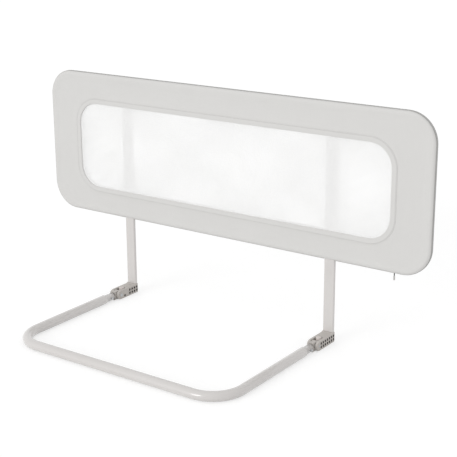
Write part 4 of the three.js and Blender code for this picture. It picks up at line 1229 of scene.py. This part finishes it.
def edge_lengths():
    """The ring's columns of both lengths of tape: between the slits, and the long way round."""
    (left_first, left_last), (right_first, right_last) = slit_columns()
    return [np.arange(left_last, right_first + 1), np.arange(right_last, left_first + COLUMNS + 1) % COLUMNS]


def edge_tape():
    """Each ring is the section at one column: out along the panel's normal, and across its edge."""
    shells, flats = [], []
    for columns in edge_lengths():
        place = edge_points[columns, None] + edge_normals[columns, None] * EDGE_SECTION[None, :, :1]
        shells.append(skin(upright(place, MID_Y + EDGE_SECTION[:, 1])))
        flats.append(flat_map(edge_run[columns, None], EDGE_SECTION[:, 1]))
    return together(*shells), np.concatenate(flats)


def along_edge(at, values):
    """The ring's places or normals at any runs along it."""
    return np.stack([np.interp(at, edge_run, values[:, k]) for k in (0, 1)], -1)


def edge_stitches():
    """Two rows of stitches on the tape, with none near the posts' slits."""
    at = np.arange(0, edge_run[-1], STITCH_PITCH)
    place, out = along_edge(at, edge_points), along_edge(at, edge_normals)
    out /= np.hypot(*out.T)[:, None]
    clear = (out[:, 1] > -0.99) | (np.abs(np.abs(place[:, 0]) - POST_X) > SLIT_HALF + 2)
    place, out = place[clear], out[clear]
    rows = [upright(place + out * EDGE_STITCH_OUT, MID_Y + side * EDGE_STITCH_ROW) for side in (-1, 1)]
    return together(*(sewn(places, (0.0, 1.0, 0.0), upright(out, 0.0), 0.6, 0.4) for places in rows))


edge_thread = piece("edge_stitches", edge_stitches(), edge_thread_cloth, "panel", "binding", sharp=0)
shell, flat = edge_tape()
edge_piece = piece("edge_tape_sewn", shell, edge_cloth, "panel", "binding", sharp=50.0, cloth=flat)
edge_length = float(edge_run[-1]) - 4 * SLIT_HALF
edge_length * MM
print("edge tape:", round(edge_length), "mm in two lengths")

# %% [markdown]
# ## The mesh in the window
# Two sheets of knit mesh close the window, one in each half of the cover. A sheet is a plain
# grid whose height follows the round corners, with slow waves and a few tension lines.

# %% Stretch the mesh
MESH_TUCK, MESH_DEPTH = 12.0, 1.85
MESH_WAVE, MESH_RISE, MESH_FALL = 0.3, -0.8, 0.9
PULL_DEPTH, PULL_PITCH, PULL_AT, PULL_SPREAD = 0.16, 34.0, 420, 60
MESH_COLUMNS, MESH_ROWS = 260, 70


def mesh_sheet(front, seed):
    """z = s * h(x) with s from -1 to 1, where h is half the height of the rounded window at x. The
    columns stand closer towards both ends, by a share of a sine."""
    half_x, half_z = WINDOW_LENGTH / 2 + MESH_TUCK, WINDOW_HEIGHT / 2 + MESH_TUCK
    radius = WINDOW_RADIUS + MESH_TUCK
    even = np.linspace(-1, 1, MESH_COLUMNS)
    x = half_x * (0.35 * np.sin(even * math.pi / 2 * 0.999) + 0.65 * even)
    past = np.maximum(np.abs(x) - (half_x - radius), 0)
    half = half_z - radius + np.sqrt(np.maximum(radius ** 2 - past ** 2, 0))
    s = np.linspace(-1, 1, MESH_ROWS)[:, None]
    z = s * half[None]
    x = np.broadcast_to(x, z.shape)
    held = smooth(1 - np.abs(s), 0.02, 0.3) * smooth(half_x - np.abs(x), 10, 50)
    slanting = (x * 0.5 - z * 0.86) * 2 * math.pi / PULL_PITCH
    pull = np.sin(slanting) * np.exp(-((np.abs(x) - PULL_AT) / PULL_SPREAD) ** 2)
    wave = MESH_WAVE * gentle(x, z, seed, (40.0, 170.0)) + PULL_DEPTH * pull
    depth = MESH_DEPTH + np.clip(wave, MESH_RISE, MESH_FALL) * held
    faces = grid_faces(MESH_ROWS, MESH_COLUMNS)
    faces = faces if front else [face[::-1] for face in faces]
    points = np.stack([x, under_face(front, depth), z + WINDOW_MID_Z], -1).reshape(-1, 3)
    return (points, faces), flat_map(x, z)


for name, front, seed in (("front", True, 21), ("back", False, 22)):
    shell, flat = mesh_sheet(front, seed)
    sheet = piece("mesh_" + name + "_stretched", shell, mesh_cloth, "panel", "mesh_fabric", sharp=0,
                  cloth=flat)
    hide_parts("mesh_" + name)
    print(sheet.name, round(area_of(sheet), 3), "square metres")

# %% [markdown]
# ## The zip
# A coil zip runs along the lower rear edge of the cover, so that it can be taken off. Its tape
# follows the curve of the rim, two rows of teeth interlock down its middle, and rows of stitches
# hold its edges. The slider has a waisted body and an arched bridge, and the pull hangs from it.

# %% Lay the zip's tape and teeth
ZIP_ANGLE = math.radians(30.0)
TAPE_HALF_ANGLE, TAPE_THICKNESS, TAPE_TURNED = math.radians(34.0), 0.45, 0.5
TEETH_HALF_ANGLE, TOOTH_PITCH = math.radians(5.0), 1.6
rim_line = (MID_Y, PANEL_BOTTOM + RIM_RADIUS)
ZIP_HALF = box_mm("zip_chain")[1][0]


def rim_place(angle, radius):
    """Y and Z at an angle below the rear of the lower rim, and a radius from its line."""
    return rim_line[0] + radius * np.cos(angle), rim_line[1] - radius * np.sin(angle)


def tape_shell():
    """A thin arc over the rim, carried along the panel."""
    out = ZIP_ANGLE + np.linspace(-TAPE_HALF_ANGLE, TAPE_HALF_ANGLE, 12)
    angle = np.concatenate([out, out[::-1]])
    above = np.repeat([TAPE_THICKNESS, 0.03], len(out))
    x = np.linspace(-ZIP_HALF, ZIP_HALF, 120)[:, None]
    rings = along_axis("x", *rim_place(angle, RIM_RADIUS + above), x)
    return skin(rings), flat_map(x, angle * RIM_RADIUS)


def along_zip(x, angle, radius):
    """Places and the three directions of beads on the rim at one angle."""
    along, up = (1.0, 0.0, 0.0), (0.0, math.cos(angle), -math.sin(angle))
    return along_axis("x", *rim_place(angle, radius), x), along, np.cross(up, along), up


def teeth_shell():
    """Two rows of beads that lie across the tape, half a pitch apart, and a stop at each end."""
    rows = []
    for side, shift in ((1, 0.0), (-1, 0.5)):
        x = np.arange(-ZIP_HALF + 4, ZIP_HALF - 4, TOOTH_PITCH) + shift * TOOTH_PITCH
        places, along, across, up = along_zip(x, ZIP_ANGLE + side * TEETH_HALF_ANGLE, RIM_RADIUS + 1.0)
        rows.append(strewn(bead(2.7, 0.95, 1.1), places, across, along, up))
    stop = prism(rectangle(3.0, 4.6, 0.6, 0, 0, 20.0), 0.2, 1.9, 0.3, "z")
    for way in (-1, 1):
        rows.append(strewn(stop, *along_zip(np.array([way * (ZIP_HALF - 2.0)]), ZIP_ANGLE, RIM_RADIUS)))
    return together(*rows)


def tape_stitches():
    """A row of stitches near each edge of the tape."""
    x = np.arange(-ZIP_HALF + 2, ZIP_HALF - 2, STITCH_PITCH)
    beside, radius = TAPE_HALF_ANGLE - 0.11, RIM_RADIUS + TAPE_THICKNESS + 0.1
    rows = [along_zip(x, ZIP_ANGLE + side * beside, radius) for side in (-1, 1)]
    return together(*(strewn(bead(STITCH_LENGTH, 0.6, 0.4), *row) for row in rows))


zip_coil = moulded("zip_coil", (186, 185, 182), (200, 199, 196), 0.5, 0.0006)
teeth = piece("zip_teeth", teeth_shell(), zip_coil, "panel", "zip_plastic", sharp=0)
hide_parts("zip_chain")
zip_stitches = piece("zip_stitches", tape_stitches(), thread, "panel", "zip_plastic", sharp=0)
shell, flat = tape_shell()
tape = piece("zip_tape", shell, zip_tape, "panel", "zip_plastic", cloth=flat)
tape_width = 2 * TAPE_HALF_ANGLE * RIM_RADIUS * MM + TAPE_TURNED * MM
print("zip:", len(teeth.data.polygons) // 20, "teeth")

# %% Make the slider
pull_place = joint_place("zip_pull_swing")
zip_out = np.array([0.0, math.cos(ZIP_ANGLE), -math.sin(ZIP_ANGLE)])
zip_across = np.array([0.0, math.sin(ZIP_ANGLE), math.cos(ZIP_ANGLE)])
zip_centre = np.array([pull_place[0], *rim_place(ZIP_ANGLE, RIM_RADIUS)])
BRIDGE_RISE = float((pull_place - zip_centre) @ zip_out)
BRIDGE_FOOT, BRIDGE_HALF, BRIDGE_WIRE = 2.5, 2.9, 0.6
WIRE_SIDES = 10


def on_zip(points):
    """Places drawn as along, across and out become places on the rim under the slider."""
    return zip_centre + points @ np.stack([[1.0, 0.0, 0.0], zip_across, zip_out])


def round_wire(path, side, up, radius):
    """A round wire: each ring is spanned by two directions that lie across the path there."""
    angle = full_turn(WIRE_SIDES)[:, None]
    return skin(path[:, None] + radius * (np.cos(angle) * side[:, None] + np.sin(angle) * up[:, None]))


def squared(angle, power):
    """Cosine and sine with their signs kept and their sizes raised to a power below 1, which turns
    a circle into a rounded square."""
    return [np.sign(v) * np.abs(v) ** power for v in (np.cos(angle), np.sin(angle))]


def slider_shell():
    """A waisted body over the teeth, and a bridge that is a squared arch |x|^4 + |rise|^4."""
    half = [(-5.0, 3.0), (-1.0, 2.6), (2.0, 3.4), (5.0, 2.4)]
    corners = [(x, -y) for x, y in half] + half[::-1]
    radii = [1.2, 3, 2, 1.6]
    body = prism(rounded_outline(corners, radii + radii[::-1], 12.0), 0.5, 2.8, 0.7, "z", 4)
    along, out = squared(np.linspace(0, math.pi, 19), 0.5)
    rise = BRIDGE_FOOT + (BRIDGE_RISE - BRIDGE_FOOT) * out
    arch = along_axis("y", -BRIDGE_HALF * along, rise, 0.0)
    way = np.gradient(arch, axis=0)
    way /= np.linalg.norm(way, axis=1)[:, None]
    side = np.cross(way, [0.0, 1.0, 0.0])
    bridge = round_wire(arch, side, np.cross(side, way), BRIDGE_WIRE)
    return moved(together(body, bridge), on_zip)


slider = piece("zip_slider_body", slider_shell(), slider_paint, "slider", "dark_steel")
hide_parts("zip_slider")
print("slider:", len(slider.data.polygons), "faces")

# %% Make the pull
EYE_RADIUS, EYE_WIRE, EYE_HALF = 1.75, 0.42, 0.5
NECK_WIDTH, NECK_DROP, NECK_MIDDLE, NECK_HALF = 2.8, 14.0, 8.9, 0.5
TAB_START, TAB_LENGTH, TAB_HALF_WIDTH, TAB_HALF, RIB_DEPTH, RIBS = 14.2, 12.7, 2.4, 0.95, 0.14, 9


def pull_shells():
    """The link has an eye round the bridge, a ring in the plane of Y and Z, and a slim neck. The
    tab is moulded on the neck's end, with grip ribs across it."""
    centre = pull_place
    turn, angle = full_turn(32)[:, None], full_turn(WIRE_SIDES)
    ring_radius = EYE_RADIUS + EYE_WIRE * np.cos(angle)
    eye = along_axis("x", ring_radius * np.cos(turn), ring_radius * np.sin(turn), EYE_HALF * np.sin(angle))
    ring = skin(eye + centre, loop_rings=True)
    neck_side = rectangle(NECK_WIDTH, NECK_DROP, 0.8, centre[0], centre[2] - NECK_MIDDLE, 20.0)
    neck = prism(neck_side, centre[1] - NECK_HALF, centre[1] + NECK_HALF, 0.25, "y")
    length = np.linspace(0, 1, 40)
    wide = TAB_HALF_WIDTH * np.sqrt(np.clip(length / 0.12, 0.12, 1) * np.clip((1 - length) / 0.14, 0.05, 1))
    ribs = np.cos(2 * math.pi * length * RIBS) * smooth(length, 0.1, 0.25) * smooth(1 - length, 0.08, 0.2)
    thick = TAB_HALF * np.sqrt(np.clip((1 - length) / 0.1, 0.3, 1)) + RIB_DEPTH * ribs
    across, deep = squared(full_turn(20), 0.6)
    tab = along_axis("z", wide[:, None] * across, thick[:, None] * deep,
                     (-TAB_START - TAB_LENGTH * length)[:, None])
    return together(ring, neck), skin(tab + centre)


link_shell, tab_shell = pull_shells()
link = piece("zip_pull_link", link_shell, slider_paint, "pull", "dark_steel")
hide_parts("zip_pull")
piece("zip_pull_tab", tab_shell, pull_rubber, "pull", "zip_plastic")
print("the pull turns about", [round(float(v), 1) for v in pull_place])

# %% [markdown]
# ## The springs under the thumb buttons
# A small coil spring pushes each button up. The button can only be pressed if the coil gives way.
# Each spring gets a mesh of its own.

# %% Wind the button springs
SPRING_WIRE, SPRING_TURNS, SPRING_STEPS = 0.5, 5, 22
spring_low, spring_high = box_mm("button_spring_right")
spring_height = float(spring_high[2] - spring_low[2])


def spring_shell():
    """The wire's centre goes round at one radius while it climbs by 3t^2 - 2t^3, so that both ends
    lie flat. Each ring of the wire is spanned by the outward direction and the one across it."""
    turn = np.linspace(0, 2 * math.pi * SPRING_TURNS, SPRING_TURNS * SPRING_STEPS + 1)
    outward = along_axis("z", np.cos(turn), np.sin(turn), 0.0)
    radius = (spring_high[0] - spring_low[0]) / 2 - SPRING_WIRE
    centre = (spring_low + spring_high) / 2
    climb = smooth(turn / turn[-1], -0.1, 1.1)
    climb = (climb - climb[0]) / (climb[-1] - climb[0])
    path = centre + outward * radius
    path[:, 2] = spring_low[2] + SPRING_WIRE + climb * (spring_height - 2 * SPRING_WIRE)
    along = np.gradient(path, axis=0)
    across = np.cross(along / np.linalg.norm(along, axis=1)[:, None], outward)
    return round_wire(path, outward, across, SPRING_WIRE)


springs = pair("button_spring_coiled", spring_shell(), zinc, "uprights", "steel", "button_spring",
               weighted=False)
for side, made in zip(("right", "left"), springs):
    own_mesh(made)

# %% [markdown]
# ## What the cover hides
# The tubes, tees, glides and latch springs inside keep their solids, which have the right shape.
# They still get the finish of the real thing: the two uprights show through the mesh.

# %% Finish the hidden pieces
hidden = {
    "upright_tube": paint, "frame_end": paint, "top_rail": paint, "bottom_rail": paint,
    "top_tee": inner_plastic, "bottom_tee": inner_plastic, "post_glide": inner_plastic,
    "latch_spring": zinc, "top_tee_screw": dark_plate,
}
finished = []
for node, solid in frame["nodes"].items():
    if solid.hide_render:
        continue
    kind = max((key for key in hidden if node.startswith(key)), key=len)
    solid.data.materials.clear()
    solid.data.materials.append(hidden[kind])
    finished.append(node)
print(len(finished), "inner pieces finished:", ", ".join(sorted(finished)))

# %% [markdown]
# ## The stage
# The rail stands on a pale floor. What the camera sees of the floor is pushed to white, with
# only a part of the shadow left, while the light that the floor throws back on the rail stays
# that of a pale grey floor. The lamp is a sun with a wide disc, so the light is soft and even.

# %% Build the floor and the light
FLOOR_HALF = 30.0
FLOOR_GREY, FLOOR_SEEN, SHADOW_SHARE, FLOOR_GLOW = 0.85, 0.9, 0.6, 1.36
WORLD_LIGHT, WORLD_SEEN = 0.82, 1.0
KEY_LIGHT, KEY_FROM, KEY_SPREAD = 0.95, (-0.25, -0.93, 0.22), 30.0


def seen(f):
    """1 for a ray from the camera, a reflection or a refraction, 0 for diffuse light."""
    rays = f.node("ShaderNodeLightPath", output="Is Camera Ray")
    glossy, through = f.outputs(rays, "Is Glossy Ray", "Is Transmission Ray")
    return rays.math("MAXIMUM", rays.math("MAXIMUM", rays, glossy), through)


def floor_finish():
    """A grey floor for diffuse light, and a white one that keeps a share of its shadow to be seen."""
    f = Finish("white_floor")
    grey, pale = ((v, v, v, 1.0) for v in (FLOOR_GREY, FLOOR_SEEN))
    plain = f.node("ShaderNodeBsdfDiffuse", None, {"Color": grey})
    bright = f.node("ShaderNodeBsdfDiffuse", None, {"Color": pale})
    glow = f.node("ShaderNodeEmission", None, {"Color": (1.0, 1.0, 1.0, 1.0), "Strength": FLOOR_GLOW})
    backdrop = f.node("ShaderNodeMixShader", None, {0: 1 - SHADOW_SHARE, 1: bright, 2: glow})
    return f.end(f.node("ShaderNodeMixShader", None, {0: seen(f), 1: plain, 2: backdrop}))


floor_corners = [(x * FLOOR_HALF, y * FLOOR_HALF, 0) for x, y in ((-1, -1), (1, -1), (1, 1), (-1, 1))]
floor_mesh = bpy.data.meshes.new("floor")
floor_mesh.from_pydata(floor_corners, [], [[0, 1, 2, 3]])
floor_mesh.materials.append(floor_finish())
floor = bpy.data.objects.new("floor", floor_mesh)
scene.collection.objects.link(floor)

scene.world = bpy.data.worlds.new("studio")
sky = Finish("studio", scene.world)
soft, white = (sky.node("ShaderNodeBackground", None, {"Color": (1, 1, 1, 1), "Strength": strength})
               for strength in (WORLD_LIGHT, WORLD_SEEN))
sky.end(sky.node("ShaderNodeMixShader", None, {0: seen(sky), 1: soft, 2: white}), "ShaderNodeOutputWorld")

key_data = bpy.data.lights.new("key", "SUN")
key_data.energy, key_data.angle = KEY_LIGHT, math.radians(KEY_SPREAD)
key = bpy.data.objects.new("key", key_data)
key.rotation_mode = "QUATERNION"
key.rotation_quaternion = (-Vector(KEY_FROM)).to_track_quat("-Z", "Y")
scene.collection.objects.link(key)
print("stage ready")
